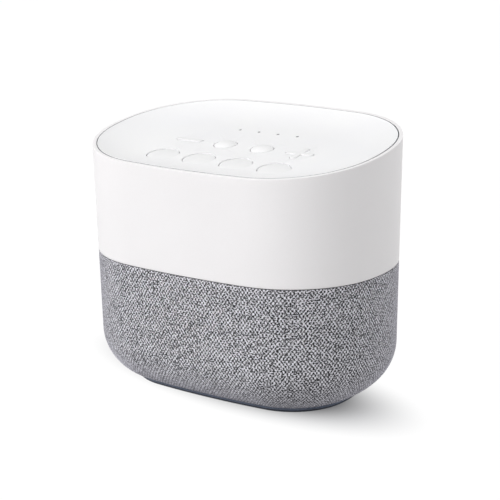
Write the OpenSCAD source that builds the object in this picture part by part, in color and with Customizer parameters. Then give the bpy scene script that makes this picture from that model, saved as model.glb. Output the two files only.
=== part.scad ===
/* [Body] */
// Width of the body at the rim
body_w = 110; // [104:1:125]
// Depth of the body at the rim
body_d = 75; // [73:1:90]
// Height of the rim over the middle of the base
body_h = 87; // [80:1:110]
// Slope of the top, which falls towards the front
top_tilt = 7.6; // [4:0.2:10]
// Angle that the bow of the front and back turns through, either way
face_turn = 4.7; // [3.5:0.1:6]
// Angle that the bow of the left and right sides turns through, either way
side_turn = 9.5; // [7:0.5:12]
// Radius of the four upright corners
corner_r = 34; // [30:0.5:34.5]
// Height of the seam between the cloth and the upper housing
seam_z = 46.5; // [44:0.5:52]
// Draft of the walls, narrowing downwards, in degrees
draft = 1; // [0.4:0.1:1.6]
// Radius that the wall turns in by at the bottom
bottom_r = 17.6; // [16:0.2:19]
// Height of the base edge under the cloth
base_edge_h = 1.6; // [1.4:0.1:2.2]

/* [Rim and dish] */
// Thickness of the rim around the top panel
rim_t = 1.3; // [1:0.1:1.8]
// Depth of the dish in the top panel, below the rim
dish_depth = 3.42; // [2.6:0.02:4.2]
// Width of the sloping band between the rim and the flat of the dish
dish_run = 18; // [14:0.5:19]
// Drop of the top panel's edge below the rim
panel_drop = 0.2; // [0.1:0.05:0.5]
// Thickness of the top panel
panel_t = 2; // [1.6:0.1:2.4]
// Gap between the top panel and the rim
panel_gap = 0.25; // [0.2:0.05:0.4]

/* [Keys] */
// Distance between neighbouring keys in a row
key_pitch = 15.1; // [14.4:0.1:15.6]
// Place of the front row of sound keys along the slope
front_row = -16.9; // [-17.6:0.1:-16.2]
// Place of the middle row of keys along the slope
middle_row = -1.2; // [-1.8:0.1:-0.6]
// Diameter of a sound key
sound_key_d = 11; // [9.6:0.1:11.4]
// Diameter of a domed key
dome_key_d = 7.8; // [7:0.1:8.8]
// Height of the dome over the panel
dome_h = 1.1; // [0.6:0.1:1.6]
// Length of the bars that form the minus and plus keys
bar_l = 10.4; // [9:0.1:11]
// Width of those bars
bar_w = 2; // [1.6:0.1:2.4]
// Height of those bars over the panel
bar_h = 0.7; // [0.4:0.1:1]
// Height of a sound key over the panel
key_proud = 0.15; // [0.1:0.05:0.3]
// Rise of a sound key's top from its edge to its middle
key_crown = 0.4; // [0.2:0.05:0.6]
// Gap around each key
key_gap = 0.25; // [0.2:0.05:0.35]
// Width of the collar that holds a key under the panel
collar_w = 1; // [0.8:0.1:1.2]
// Thickness of that collar
collar_t = 1; // [0.8:0.1:1.4]
// Diameter of the stem under a key
stem_d = 3.2; // [2.6:0.1:3.8]
// Length of the stem under the collar
stem_l = 1.5; // [1.2:0.1:2]

/* [Indicator lights] */
// Place of the row of lights along the slope
light_row = 14.2; // [13.6:0.1:14.8]
// Distance between neighbouring lights
light_pitch = 7.95; // [7:0.05:9]
// Diameter of a light pipe where it shows
light_d = 1; // [0.8:0.1:1.4]
// Diameter of a light pipe under the panel
pipe_d = 2.4; // [2:0.1:3]
// Height of an indicator light
led_h = 0.9; // [0.7:0.1:1.2]
// Width of an indicator light
led_w = 1.8; // [1.5:0.1:2.2]

/* [Keypad and key board] */
// Height of a rubber dome
dome_pad_h = 1.7; // [1.5:0.1:2]
// Diameter of a rubber dome at its foot
dome_pad_d = 8; // [7:0.1:9]
// Diameter of a rubber dome at its top
dome_top_d = 4.2; // [4:0.1:5]
// Thickness of the rubber sheet
mat_t = 0.8; // [0.6:0.1:1]
// Border of the rubber sheet around the domes
mat_border = 1.4; // [1:0.1:1.8]
// Thickness of both circuit boards
board_t = 1.6; // [1.2:0.1:2]
// Distance of the board posts from the middle, sideways
post_x = 32.4; // [31.8:0.1:33.4]
// Distance of the board posts from the middle of the key board, along the slope
post_y = 20; // [19:0.1:20.6]
// Middle of the key board along the slope
key_board_y = -2; // [-2.6:0.1:-1.6]
// Diameter of a board post
post_d = 5.6; // [5:0.1:6]
// Border of the key board around its posts
key_board_border = 3.6; // [3:0.1:4]

/* [Housing] */
// Wall thickness of the upper housing
wall = 2.6; // [2.3:0.1:3]
// Diameter of the screw bosses in the upper housing
boss_d = 7; // [6:0.1:8]
// Length of those bosses
boss_l = 14; // [12:0.5:18]
// Distance of the bosses from the widest part of the body, sideways
boss_in_x = 17; // [16:0.1:18]
// Distance of the bosses from the deepest part of the body, front to back
boss_in_y = 17.5; // [16.5:0.1:18.5]
// Thickness of the rib that ties a boss to the wall
rib_t = 2; // [1.6:0.1:2.6]

/* [Cloth and lower shell] */
// Thickness of the cloth
cloth_t = 0.9; // [0.6:0.1:1.2]
// Layer of glue under the cloth
glue_t = 0.2; // [0.1:0.05:0.3]
// Wall thickness of the lower shell
shell_wall = 2; // [1.8:0.1:2.4]
// Thickness of the gasket in the seam
gasket_t = 0.5; // [0.4:0.1:0.8]
// Thickness of the flange around the top of the lower shell
flange_t = 2; // [1.6:0.1:2.6]
// Width of that flange
flange_w = 6; // [5:0.5:7]
// Width of a sound slot
slot_w = 2.2; // [1.6:0.1:2.6]
// Distance between neighbouring sound slots
slot_pitch = 4; // [3.6:0.1:5]
// Thickness of the deck over the speaker chamber
deck_t = 2; // [1.6:0.1:2.6]
// Gap between the deck and the upper housing
deck_gap = 0.4; // [0.3:0.1:0.6]
// Diameter of the hole that the speaker's wires pass through
wire_hole_d = 9; // [8:0.1:10]

/* [Base] */
// Height of the base plate inside the shell
base_t = 1.2; // [1:0.1:1.4]
// Height of the rubber ring under the base plate
foot_proud = 0.8; // [0.6:0.05:0.9]
// Depth of the groove that the rubber ring sits in
foot_groove = 0.5; // [0.4:0.05:0.7]
// Width of the rubber ring
foot_w = 5; // [4:0.5:6]
// Distance of the rubber ring from the base plate's edge
foot_in = 0.4; // [0.3:0.1:1]
// Gap around the plate inside the shell
base_gap = 0.4; // [0.3:0.1:0.5]
// Distance of the base screws from the widest part of the body, sideways
base_screw_in = 28; // [27:0.5:30]
// Distance of the base screws from the middle, front to back
base_screw_y = 9; // [8:0.5:10]
// Thickness of the ears that take the base screws
ear_t = 4; // [3.5:0.1:5]
// Width of those ears
ear_w = 8; // [7:0.1:9]

/* [Speaker] */
// Side of the square speaker frame
speaker_w = 37; // [36:0.5:37.5]
// Width of the frame outside the speaker's opening
speaker_rim = 2.5; // [2.3:0.1:2.8]
// Width of the square baffle frame around the speaker
baffle_border = 1; // [0.8:0.1:1.2]
// Thickness of the speaker's gasket
speaker_gasket_t = 0.8; // [0.6:0.1:1.2]
// Thickness of the speaker frame's sheet
frame_t = 1.2; // [1:0.1:1.6]
// Width of the surround between the frame and the cone
surround_w = 3.1; // [2.8:0.1:3.5]
// Radius of the voice coil
coil_r = 5.6; // [5.2:0.1:6]
// Thickness of the voice coil
coil_t = 0.4; // [0.3:0.05:0.5]
// Depth of the cone
cone_depth = 5.4; // [5:0.1:6]
// Thickness of the cone paper
cone_t = 0.4; // [0.3:0.05:0.6]
// Depth of the basket, from the frame's face to the magnet's plate
basket_depth = 12; // [11.5:0.1:13]
// Step from the opening's radius in to the magnet's
magnet_step = 3; // [2.6:0.1:4]
// Thickness of the magnet
magnet_t = 5; // [4:0.1:6]
// Thickness of the steel plates on the magnet
plate_t = 2; // [1.6:0.1:2.6]
// Gap between the voice coil and the steel around it
coil_gap = 0.3; // [0.3:0.02:0.4]
// Distance of the speaker's screws from its edges
speaker_hole_in = 2.9; // [2.8:0.05:3.1]

/* [Main board] */
// Height of the posts that the main board stands on
standoff_h = 5.6; // [5:0.1:7]
// Distance of the main board's front and back edges inside the body
board_in = 12.5; // [12:0.1:14]
// Width of the tongue that carries the inlet
tongue_w = 16; // [13:0.5:20]
// Distance of the main board's screws from its edges
board_hole_in = 4; // [3.6:0.1:5]
// Width of the power inlet
inlet_w = 9; // [8.8:0.05:9.2]
// Height of the power inlet
inlet_h = 3.3; // [3.2:0.05:3.5]
// Length of the power inlet
inlet_l = 8; // [7.4:0.1:9]
// Distance of the inlet's mouth inside the outer wall
inlet_in = 0.8; // [0.5:0.1:1.2]
// Gap between the inlet and the wall around it
inlet_gap = 0.2; // [0.15:0.05:0.3]
// Width of the ribbon cable
ribbon_w = 10; // [8:0.5:12]
// Place of the ribbon cable, front to back
ribbon_y = 18; // [17:0.1:18.6]
// Place of the ribbon cable, sideways
ribbon_x = 0; // [-2:0.5:2]

/* [Fasteners] */
// Diameter of the small screws' threads
screw_d = 2; // [1.7:0.1:2.3]
// Diameter of the small screws' heads
head_d = 3.8; // [3.4:0.1:4.2]
// Height of the small screws' heads
head_h = 1.2; // [1:0.1:1.5]
// Diameter of the housing screws' threads
long_d = 2.6; // [2.3:0.1:3]
// Diameter of the housing screws' heads
long_head_d = 5; // [4.6:0.1:5.4]

/* [Hidden] */
$fn = 120;

white = [0.94, 0.94, 0.94];
board_green = [0.10, 0.33, 0.20];
steel = [0.70, 0.71, 0.73];
dark_plastic = [0.16, 0.18, 0.21];

slack = 0.1;          // radial clearance of a screw in a hole
seat_gap = 0.3;       // space left where two pieces only rest together
band_w = 7;           // width of the swept band around a filled middle
bite = 0.7;           // share of a screw's thread diameter that its pilot hole has
thin = 0.4;           // thickness of leads, springs and tongues
over = 1;             // how far a cutter runs past what it cuts
end_turn = 71;        // angle that the bottom rounding turns through, in degrees

half_w = body_w / 2;
half_d = body_d / 2;
shell_in = cloth_t + glue_t;
shell_top = seam_z - gasket_t;
deck_z = shell_top + seat_gap;
board_z = deck_z + deck_t + standoff_h;
board_top = board_z + board_t;

// ---------- outline: eight tangent arcs ----------

// Radii of the side arcs and the face arcs that meet the corner arcs at the two angles
function bow_radii(a, b) =
    let (p = 1 - cos(side_turn), q = sin(face_turn), s = sin(side_turn), t = 1 - cos(face_turn),
         m = a - corner_r * (cos(side_turn) - q), n = b - corner_r * (cos(face_turn) - s))
    [m * t - n * q, n * p - m * s] / (p * t - q * s);

function corner_at(r) = [(r[1] - corner_r) * sin(face_turn), (r[0] - corner_r) * sin(side_turn)];

// Each arc as [middle, radius, quarter turned to, start angle, sweep]
function outline(a, b) =
    let (r = bow_radii(a, b), c = corner_at(r), sweep = 90 - side_turn - face_turn)
    [
        [[a - r[0], 0], r[0], 0, -side_turn, 2 * side_turn],
        [c, corner_r, 0, side_turn, sweep],
        [[0, b - r[1]], r[1], 90, -face_turn, 2 * face_turn],
        [[-c[0], c[1]], corner_r, 90, face_turn, sweep],
        [[r[0] - a, 0], r[0], 180, -side_turn, 2 * side_turn],
        [-c, corner_r, 180, side_turn, sweep],
        [[0, r[1] - b], r[1], 270, -face_turn, 2 * face_turn],
        [[c[0], -c[1]], corner_r, 270, face_turn, sweep]
    ];

level_outline = outline(half_w, half_d);
// The same outline seen square to the sloping top
slope_outline = outline(half_w, half_d / cos(top_tilt));

// Moves in a coarse and a fine step, so that arcs still meet where numbers are kept to six digits
module place(v) {
    coarse = [for (x = v) round(100 * x) / 100];
    translate(coarse) translate(v - coarse) children();
}

// Carries a profile of [offset from the outline, height] around the outline
module around(arcs) {
    for (k = arcs)
        place([k[0][0], k[0][1], 0]) rotate([0, 0, k[2]])
            rotate_extrude(angle = k[4], start = k[3]) place([k[1], 0, 0]) children();
}

// Fills the middle that the swept profiles leave open
module core(arcs, inset, h) {
    linear_extrude(h) polygon([
        for (k = arcs, share = [0, 0.5])
            let (turn = k[2] + k[3] + share * k[4]) k[0] + (k[1] - inset) * [cos(turn), sin(turn)]
    ]);
}

// A plate in the outline's shape, moved in by an inset
module plate(arcs, inset, h) {
    around(arcs) translate([-inset - band_w, 0]) square([band_w, h]);
    core(arcs, inset + band_w / 2, h);
}

// Moves to the middle of the rim's plane, with Z square to it
module on_slope() {
    translate([0, 0, body_h]) rotate([top_tilt, 0, 0]) children();
}

// ---------- flank of the body ----------

function neat(x) = round(1000 * x) / 1000;

// How far the drafted wall has come in at a height
function drop(z) = (body_h - z) * tan(draft);

round_z = neat(base_edge_h + bottom_r * sin(end_turn));    // where the wall starts to turn in
turn_in = neat(drop(round_z)) + bottom_r;                  // inset of that turn's middle

// Inset of the flank at a height, i under the skin
function flank_in(i, z) = z >= round_z
    ? drop(z) + i
    : turn_in - sqrt((bottom_r - i) ^ 2 - (round_z - z) ^ 2);

// Profile of the flank between two heights, from i under the skin to i + t, and no further in than far
module flank(i, t, z0, z1, far) {
    polygon([
        [bottom_r - turn_in - i - t, round_z], [bottom_r - turn_in - i, round_z],
        [-drop(z1) - i, z1], [-drop(z1) - i - t, z1]
    ]);
    intersection() {
        translate([-turn_in, round_z]) difference() {
            circle(r = bottom_r - i);
            circle(r = bottom_r - i - t);
        }
        translate([-far, z0]) square([far, round_z - z0]);
    }
}

// ---------- upper housing ----------

edge_t = panel_t + 0.4;                               // thickness of the top panel's edge
ledge_room = 0.2;                                     // room under the panel's edge
ledge_drop = panel_drop + edge_t + seat_gap + ledge_room;
inlet_z = board_top + inlet_h / 2;
back_y = half_d - drop(inlet_z);                      // outer face of the back wall at the inlet
pilot_d = long_d * bite;
boss_x = half_w - boss_in_x;
boss_y = half_d - boss_in_y;
boss_z = deck_z + deck_t;

module rounded_slab(w, h, l) {                        // flat-sided with round ends, along Y
    for (s = [-1, 1])
        translate([s * (w - h) / 2, 0, 0]) rotate([-90, 0, 0]) cylinder(d = h, h = l);
    translate([-(w - h) / 2, 0, -h / 2]) cube([w - h, l, h]);
}

module four_ways(x, y) {
    for (a = [-1, 1], b = [-1, 1]) translate([a * x, b * y, 0]) children();
}

module upper_housing() {
    top = body_h + half_d / 2;
    away = [boss_x, boss_y] - corner_at(bow_radii(half_w, half_d));
    rib_l = corner_r - norm(away) - drop(boss_z) - wall / 2;
    color(white) difference() {
        union() {
            around(level_outline) polygon([
                [-drop(seam_z) - wall, seam_z], [-drop(seam_z), seam_z],
                [-drop(top), top], [-drop(top) - wall, top]
            ]);
            // ribs tie the bosses to the corners
            for (x = [-1, 1], y = [-1, 1])
                translate([x * boss_x, y * boss_y, boss_z]) rotate([0, 0, atan2(y * away[1], x * away[0])])
                    translate([0, -rib_t / 2, 0]) cube([rib_l, rib_t, boss_l]);
            four_ways(boss_x, boss_y) translate([0, 0, boss_z]) cylinder(d = boss_d, h = boss_l);
        }
        on_slope() translate([-body_w, -body_w, 0]) cube([2 * body_w, 2 * body_w, body_h]);
        on_slope() translate([0, 0, -ledge_drop]) plate(slope_outline, rim_t, body_h);
        four_ways(boss_x, boss_y) translate([0, 0, boss_z - over]) cylinder(d = pilot_d, h = boss_l);
        translate([0, back_y - 2 * wall, inlet_z])
            rounded_slab(inlet_w + 2 * inlet_gap, inlet_h + 2 * inlet_gap, 4 * wall);
    }
}

// ---------- top panel ----------

floor_w = -dish_depth;                       // height of the dish's floor on the slope
under_w = floor_w - panel_t;                 // its underside
collar_top = under_w - seat_gap;
stem_end = collar_top - collar_t - stem_l;
pad_top = stem_end - seat_gap;
mat_top = pad_top - dome_pad_h;
key_board_top = mat_top - mat_t;
key_board_low = key_board_top - board_t;
panel_in = rim_t + panel_gap;
dish_in = panel_in + dish_run;
dish_r = neat((dish_run ^ 2 + (dish_depth - panel_drop) ^ 2) / (2 * (dish_depth - panel_drop)));

function key_x(n) = (n - 1.5) * key_pitch;
function light_x(n) = (n - 1.5) * light_pitch;

module bar(l, w) {
    square([l - w, w], center = true);
    for (s = [-1, 1]) translate([s * (l - w) / 2, 0]) circle(d = w);
}

module plus(l, w) {
    bar(l, w);
    rotate(90) bar(l, w);
}

// Outlines of the keys in their two rows, grown by a gap
module middle_keys(grow) {
    translate([key_x(0), middle_row]) bar(bar_l + 2 * grow, bar_w + 2 * grow);
    for (n = [1, 2]) translate([key_x(n), middle_row]) circle(d = dome_key_d + 2 * grow);
    translate([key_x(3), middle_row]) plus(bar_l + 2 * grow, bar_w + 2 * grow);
}

module at_posts() {
    translate([0, key_board_y, 0]) four_ways(post_x, post_y) children();
}

module top_panel() {
    flat_w = band_w - over;
    color(white) on_slope() difference() {
        union() {
            around(slope_outline) {
                intersection() {
                    translate([-dish_in, floor_w + dish_r]) difference() {
                        circle(r = dish_r + panel_t);
                        circle(r = dish_r);
                    }
                    translate([-dish_in, under_w]) square([dish_run, dish_depth + panel_t]);
                }
                translate([-dish_in - flat_w, under_w]) square([flat_w, panel_t]);
                difference() {
                    translate([-panel_in - 2 * panel_t, -panel_drop - edge_t])
                        square([2 * panel_t, edge_t + over]);
                    translate([-dish_in, floor_w + dish_r]) circle(r = dish_r);
                }
            }
            translate([0, 0, under_w]) core(slope_outline, dish_in + flat_w / 2, panel_t);
            at_posts() translate([0, 0, key_board_top])
                cylinder(d = post_d, h = floor_w - panel_t / 10 - key_board_top);
        }
        for (n = [0:3]) {
            translate([key_x(n), front_row, under_w - over])
                cylinder(d = sound_key_d + 2 * key_gap, h = 2 * panel_t + over);
            translate([light_x(n), light_row, under_w - over])
                cylinder(d = light_d + 2 * slack, h = 2 * panel_t + over);
        }
        translate([0, 0, under_w - over]) linear_extrude(2 * panel_t + over) middle_keys(key_gap);
        at_posts() translate([0, 0, key_board_top - over])
            cylinder(d = screw_d * bite, h = under_w - key_board_top);
    }
}

// ---------- keys ----------

// What hangs under a key: its collar, and the stem that pushes the rubber dome
module key_foot(n, row) {
    translate([key_x(n), row, collar_top - collar_t]) linear_extrude(collar_t) children();
    translate([key_x(n), row, stem_end]) cylinder(d = stem_d, h = stem_l + collar_t / 2);
}

module crowned_key(n, row, d, proud, crown) {
    ball_r = ((d / 2) ^ 2 + crown ^ 2) / (2 * crown);
    tall = floor_w + proud - collar_top + collar_t;
    color(white) on_slope() {
        translate([key_x(n), row, collar_top - collar_t]) intersection() {
            cylinder(d = d, h = tall);
            translate([0, 0, tall - ball_r]) sphere(r = ball_r);
        }
        key_foot(n, row) circle(d = d + 2 * collar_w);
    }
}

module sound_key(n) { crowned_key(n, front_row, sound_key_d, key_proud, key_crown); }
module domed_key(n) { crowned_key(n, middle_row, dome_key_d, dome_h, dome_h); }
module sound_key_1() { sound_key(0); }
module sound_key_2() { sound_key(1); }
module sound_key_3() { sound_key(2); }
module sound_key_4() { sound_key(3); }

module timer_key() { domed_key(1); }
module power_key() { domed_key(2); }

module volume_down_key() {
    color(white) on_slope() {
        translate([key_x(0), middle_row, collar_top - collar_t])
            linear_extrude(floor_w + bar_h - collar_top + collar_t) bar(bar_l, bar_w);
        key_foot(0, middle_row) bar(bar_l + 2 * collar_w, bar_w + 3 * collar_w);
    }
}

module volume_up_key() {
    color(white) on_slope() {
        translate([key_x(3), middle_row, collar_top - collar_t])
            linear_extrude(floor_w + bar_h - collar_top + collar_t) plus(bar_l, bar_w);
        key_foot(3, middle_row) circle(d = bar_l + 2 * collar_w);
    }
}

// ---------- keypad, lights and key board ----------

module light_pipes() {
    low = key_board_top + led_h + seat_gap;
    color([0.35, 0.36, 0.38]) on_slope() for (n = [0:3]) translate([light_x(n), light_row, 0]) {
        translate([0, 0, low]) cylinder(d = light_d, h = floor_w - low);
        translate([0, 0, low]) cylinder(d = pipe_d, h = collar_top - low);
    }
}

module keypad_mat() {
    reach = key_x(3) + dome_pad_d / 2 + mat_border;
    front = front_row - dome_pad_d / 2 - mat_border;
    back = middle_row + dome_pad_d / 2 + mat_border;
    pill = dome_top_d - 2 * thin;
    color([0.78, 0.80, 0.82]) on_slope() difference() {
        union() {
            translate([-reach, front, key_board_top]) cube([2 * reach, back - front, mat_t]);
            for (n = [0:3], row = [front_row, middle_row])
                translate([key_x(n), row, mat_top])
                    cylinder(d1 = dome_pad_d, d2 = dome_top_d, h = dome_pad_h);
        }
        // each dome is hollow down to the board
        for (n = [0:3], row = [front_row, middle_row])
            translate([key_x(n), row, key_board_top - over]) {
                cylinder(d = pill + over, h = over + mat_t);
                cylinder(d = pill, h = over + mat_t + dome_pad_h - 2 * thin);
            }
    }
}

module key_board() {
    w = 2 * (post_x + key_board_border);
    d = 2 * (post_y + key_board_border);
    color(board_green) on_slope() difference() {
        translate([-w / 2, key_board_y - d / 2, key_board_low]) cube([w, d, board_t]);
        at_posts() translate([0, 0, key_board_low - over])
            cylinder(d = screw_d + 2 * slack, h = board_t + 2 * over);
    }
}

module indicator_leds() {
    color([0.95, 0.93, 0.80]) on_slope() for (n = [0:3])
        translate([light_x(n) - led_w / 2, light_row - led_w / 2, key_board_top])
            cube([led_w, led_w, led_h]);
}

// A pan-head screw pointing up from the origin, with its head below
module screw(d, l, head, tall) {
    cylinder(d = d, h = l);
    translate([0, 0, -tall]) cylinder(d = head, h = tall);
}

module key_board_screws() {
    grip = 0.6 * (under_w - key_board_top);
    color(steel) on_slope() at_posts()
        translate([0, 0, key_board_low]) screw(screw_d * bite, board_t + grip, head_d, head_h);
}

// ---------- main board ----------

board_w = 2 * (boss_x - boss_d / 2 - 1);
inlet_mouth = back_y - inlet_in;
inlet_over = 3.6;                            // how far the inlet overhangs the board's tongue
tongue_end = inlet_mouth - inlet_over;
board_d = body_d - 2 * board_in;
socket_h = 3;
socket_d = 3.4;
chip_gap = 0.3;                              // height of a chip's underside over the board
lead_w = 0.4;
slope_at_ribbon = body_h + ribbon_y * tan(top_tilt);

module main_board_places() {
    four_ways(board_w / 2 - board_hole_in, board_d / 2 - board_hole_in) children();
}

module main_board() {
    color(board_green) difference() {
        union() {
            translate([-board_w / 2, -board_d / 2, board_z]) cube([board_w, board_d, board_t]);
            translate([-tongue_w / 2, 0, board_z]) cube([tongue_w, tongue_end, board_t]);
        }
        main_board_places() translate([0, 0, board_z - over])
            cylinder(d = screw_d + 2 * slack, h = board_t + 2 * over);
    }
}

module main_board_screws() {
    color(steel) main_board_places() translate([0, 0, board_top]) mirror([0, 0, 1])
        screw(screw_d * bite, board_t + 0.7 * standoff_h, head_d, head_h);
}

// Moves to a place on the main board, given as shares of its half width and half depth
module on_board(x, y) {
    translate([x * board_w / 2, y * board_d / 2, board_top]) children();
}

// A chip with leads along two of its sides
module chip(w, d, h, leads, pitch) {
    reach = d / 2 + 2 * lead_w;
    translate([-w / 2, -d / 2, chip_gap]) cube([w, d, h]);
    for (n = [0:leads - 1])
        translate([(n - (leads - 1) / 2) * pitch - lead_w / 2, -reach, 0]) cube([lead_w, 2 * reach, thin]);
}

// Side of the processor
processor_w = 10;
// Widths and depths of the two smaller chips
memory_size = [5.2, 4];
amplifier_size = [7, 6];
chip_h = 1.3;

module processor_chip() {
    color("dimgray") on_board(-0.42, -0.04) {
        chip(processor_w, processor_w, chip_h, 7, processor_w / 8);
        rotate([0, 0, 90]) chip(processor_w, processor_w, chip_h, 7, processor_w / 8);
    }
}

module memory_chip() {
    color("dimgray") on_board(-0.42, -0.6)
        chip(memory_size[0], memory_size[1], chip_h, 4, memory_size[0] / 4);
}

module amplifier_chip() {
    color("dimgray") on_board(0.4, -0.58)
        chip(amplifier_size[0], amplifier_size[1], chip_h, 5, amplifier_size[0] / 6);
}

can_d = 6.3;
can_h = 7.7;

module filter_capacitors() {
    seat_w = can_d + thin;
    color("lightslategray") for (n = [0:2]) on_board(0.32, 0) translate([n * 1.3 * can_d, 0, 0]) {
        cylinder(d = can_d, h = can_h);
        translate([-seat_w / 2, -seat_w / 2, 0]) cube([seat_w, seat_w, over]);
    }
}

choke_w = 7;

module power_inductor() {
    color([0.25, 0.25, 0.27]) on_board(0.5, 0.54) {
        translate([-choke_w / 2, -choke_w / 2, 0]) cube([choke_w, choke_w, over]);
        cylinder(d = choke_w - thin, h = choke_w / 2);
    }
}

module inlet_shell() {
    color(steel) difference() {
        translate([0, inlet_mouth - inlet_l, inlet_z]) rounded_slab(inlet_w, inlet_h, inlet_l);
        translate([0, inlet_mouth - inlet_l - over, inlet_z])
            rounded_slab(inlet_w - 2 * thin, inlet_h - 2 * thin, inlet_l + 2 * over);
    }
}

module inlet_tongue() {
    block_l = inlet_l / 5;
    tongue_t = 0.7;
    blade_w = inlet_w - inlet_h + 2 * thin;
    color(dark_plastic) translate([0, inlet_mouth - inlet_l, inlet_z]) {
        rounded_slab(inlet_w - 2 * thin, inlet_h - 2 * thin, block_l);
        translate([-blade_w / 2, 0, -tongue_t / 2]) cube([blade_w, inlet_l - over, tongue_t]);
    }
}

module ribbon_sockets() {
    color("ivory") {
        translate([ribbon_x - ribbon_w / 2 - over, ribbon_y - socket_d / 2, board_top])
            cube([ribbon_w + 2 * over, socket_d, socket_h]);
        on_slope() translate([ribbon_x - ribbon_w / 2 - over, ribbon_y - socket_d, key_board_low - socket_h])
            cube([ribbon_w + 2 * over, socket_d, socket_h]);
    }
}

module ribbon_cable() {
    low = board_top + socket_h;
    // underside of the upper socket, at the cable
    high = slope_at_ribbon + (key_board_low - socket_h) / cos(top_tilt) - thin;
    color([0.85, 0.85, 0.86])
        translate([ribbon_x - ribbon_w / 2, ribbon_y - thin / 2, low]) cube([ribbon_w, thin, high - low]);
}

// ---------- deck ----------

module speaker_deck() {
    color([0.30, 0.31, 0.33]) difference() {
        union() {
            translate([0, 0, deck_z]) plate(level_outline, drop(deck_z) + wall + deck_gap, deck_t);
            main_board_places() translate([0, 0, deck_z + deck_t / 2])
                cylinder(d = post_d, h = board_z - deck_z - deck_t / 2);
        }
        four_ways(boss_x, boss_y) translate([0, 0, deck_z - over])
            cylinder(d = long_d + 2 * slack, h = deck_t + 2 * over);
        translate([0, lead_y, deck_z - over]) cylinder(d = wire_hole_d, h = deck_t + 2 * over);
        main_board_places() translate([0, 0, deck_z + deck_t])
            cylinder(d = screw_d * bite, h = standoff_h + over);
    }
}

module housing_screws() {
    low = shell_top - flange_t;
    color(steel) four_ways(boss_x, boss_y) translate([0, 0, low])
        screw(pilot_d, deck_z + deck_t + 0.6 * boss_l - low, long_head_d, 2);
}

module seam_gasket() {
    color(dark_plastic) translate([0, 0, shell_top]) around(level_outline)
        translate([-drop(seam_z) - wall, 0]) square([wall - shell_in, gasket_t]);
}

// ---------- lower shell ----------

shell_low = base_edge_h + seat_gap;
plate_top = shell_low + base_t;
mouth_lip = 0.6;                             // width of the shell's lip past the turn
mouth_in = turn_in - mouth_lip;              // inset of the hole in the bottom of the shell
base_screw_x = half_w - base_screw_in;

// The speaker stands midway in its chamber, as far forward as its lower corners clear the shell
speaker_rise = 0.8;                          // height of the speaker over the chamber's middle
speaker_z = (plate_top + shell_top) / 2 + speaker_rise;
baffle_r = speaker_w / 2 - speaker_rim;
face_bow = level_outline[6][1] - sqrt(level_outline[6][1] ^ 2 - (speaker_w / 2) ^ 2);
baffle_y = half_d - face_bow - seat_gap - flank_in(shell_in + shell_wall, speaker_z - speaker_w / 2);
lead_back = 5;                               // distance of the leads behind the frame's flange
lead_y = frame_t + lead_back - baffle_y;

module speaker_axis() {                      // Z forward, out of the speaker's face
    translate([0, -baffle_y, speaker_z]) rotate([90, 0, 0]) children();
}

// Square baffle around the speaker's opening, from its seat out into the front wall
module baffle() {
    side = speaker_w + 2 * baffle_border;
    mid = shell_in + shell_wall / 2;
    deep = half_d - baffle_y + over;
    difference() {
        intersection() {
            speaker_axis() translate([-side / 2, -side / 2, 0]) cube([side, side, deep]);
            around([level_outline[6]]) flank(mid, bottom_r - mid - over, shell_low, shell_top, turn_in);
        }
        speaker_axis() translate([0, 0, -over]) cylinder(r = baffle_r, h = deep + over);
    }
}

ear_in = 1.4;                                // distance of an ear's end inside the shell

module grille_shell() {
    mid = shell_in + shell_wall / 2;
    ear_z = plate_top + seat_gap;
    ear_end = half_w - flank_in(mid, ear_z) - ear_in;
    slots = floor(baffle_r / slot_pitch);
    color(dark_plastic) difference() {
        union() {
            around(level_outline) {
                flank(shell_in, shell_wall, shell_low, shell_top, mouth_in);
                translate([-drop(shell_top) - shell_in - flange_w, shell_top - flange_t])
                    square([flange_w - shell_wall / 2, flange_t]);
            }
            // pads under the housing screws
            four_ways(boss_x, boss_y) translate([0, 0, shell_top - flange_t])
                cylinder(d = boss_d + 1, h = flange_t);
            // ears that take the base screws
            for (x = [-1, 1], y = [-1, 1]) {
                left = x > 0 ? base_screw_x - ear_w / 2 : -ear_end;
                translate([left, y * base_screw_y - ear_w / 2, ear_z])
                    cube([ear_end - base_screw_x + ear_w / 2, ear_w, ear_t]);
            }
            baffle();
        }
        // sound slots through the front wall, as long as the round opening allows
        for (n = [-slots:slots]) {
            tall = 2 * sqrt(baffle_r ^ 2 - (n * slot_pitch) ^ 2) - slot_w;
            if (tall > slot_w) speaker_axis()
                translate([n * slot_pitch - slot_w / 2, -tall / 2, 0])
                    cube([slot_w, tall, half_d]);
        }
        speaker_axis() four_ways(speaker_hole, speaker_hole) translate([0, 0, -over])
            cylinder(d = screw_d * bite, h = screw_reach + over);
        four_ways(boss_x, boss_y) translate([0, 0, shell_top - flange_t - over])
            cylinder(d = long_d + 2 * slack, h = flange_t + 2 * over);
        four_ways(base_screw_x, base_screw_y) translate([0, 0, ear_z - over])
            cylinder(d = screw_d * bite, h = ear_t + 2 * over);
    }
}

module cloth_sleeve() {
    color([0.60, 0.60, 0.62]) around(level_outline)
        flank(0, cloth_t, base_edge_h, seam_z - seat_gap, base_in + tuck);
}

// ---------- base ----------

base_in = flank_in(0, base_edge_h);
tuck = 2;                                    // how far the cloth's end is tucked in over the base
plate_in = mouth_in + base_gap;

module base_plate() {
    color(dark_plastic) difference() {
        union() {
            translate([0, 0, foot_proud]) plate(level_outline, base_in, base_edge_h - foot_proud);
            translate([0, 0, foot_proud + foot_groove])
                plate(level_outline, plate_in, plate_top - foot_proud - foot_groove);
        }
        around(level_outline) translate([-base_in - foot_in - foot_w, 0])
            square([foot_w, foot_proud + foot_groove]);
        four_ways(base_screw_x, base_screw_y) {
            cylinder(d = screw_d + 2 * slack, h = plate_top + over);
            cylinder(d = head_d + 4 * slack, h = head_top);
        }
    }
}

head_top = foot_proud + head_h + slack;

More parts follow.
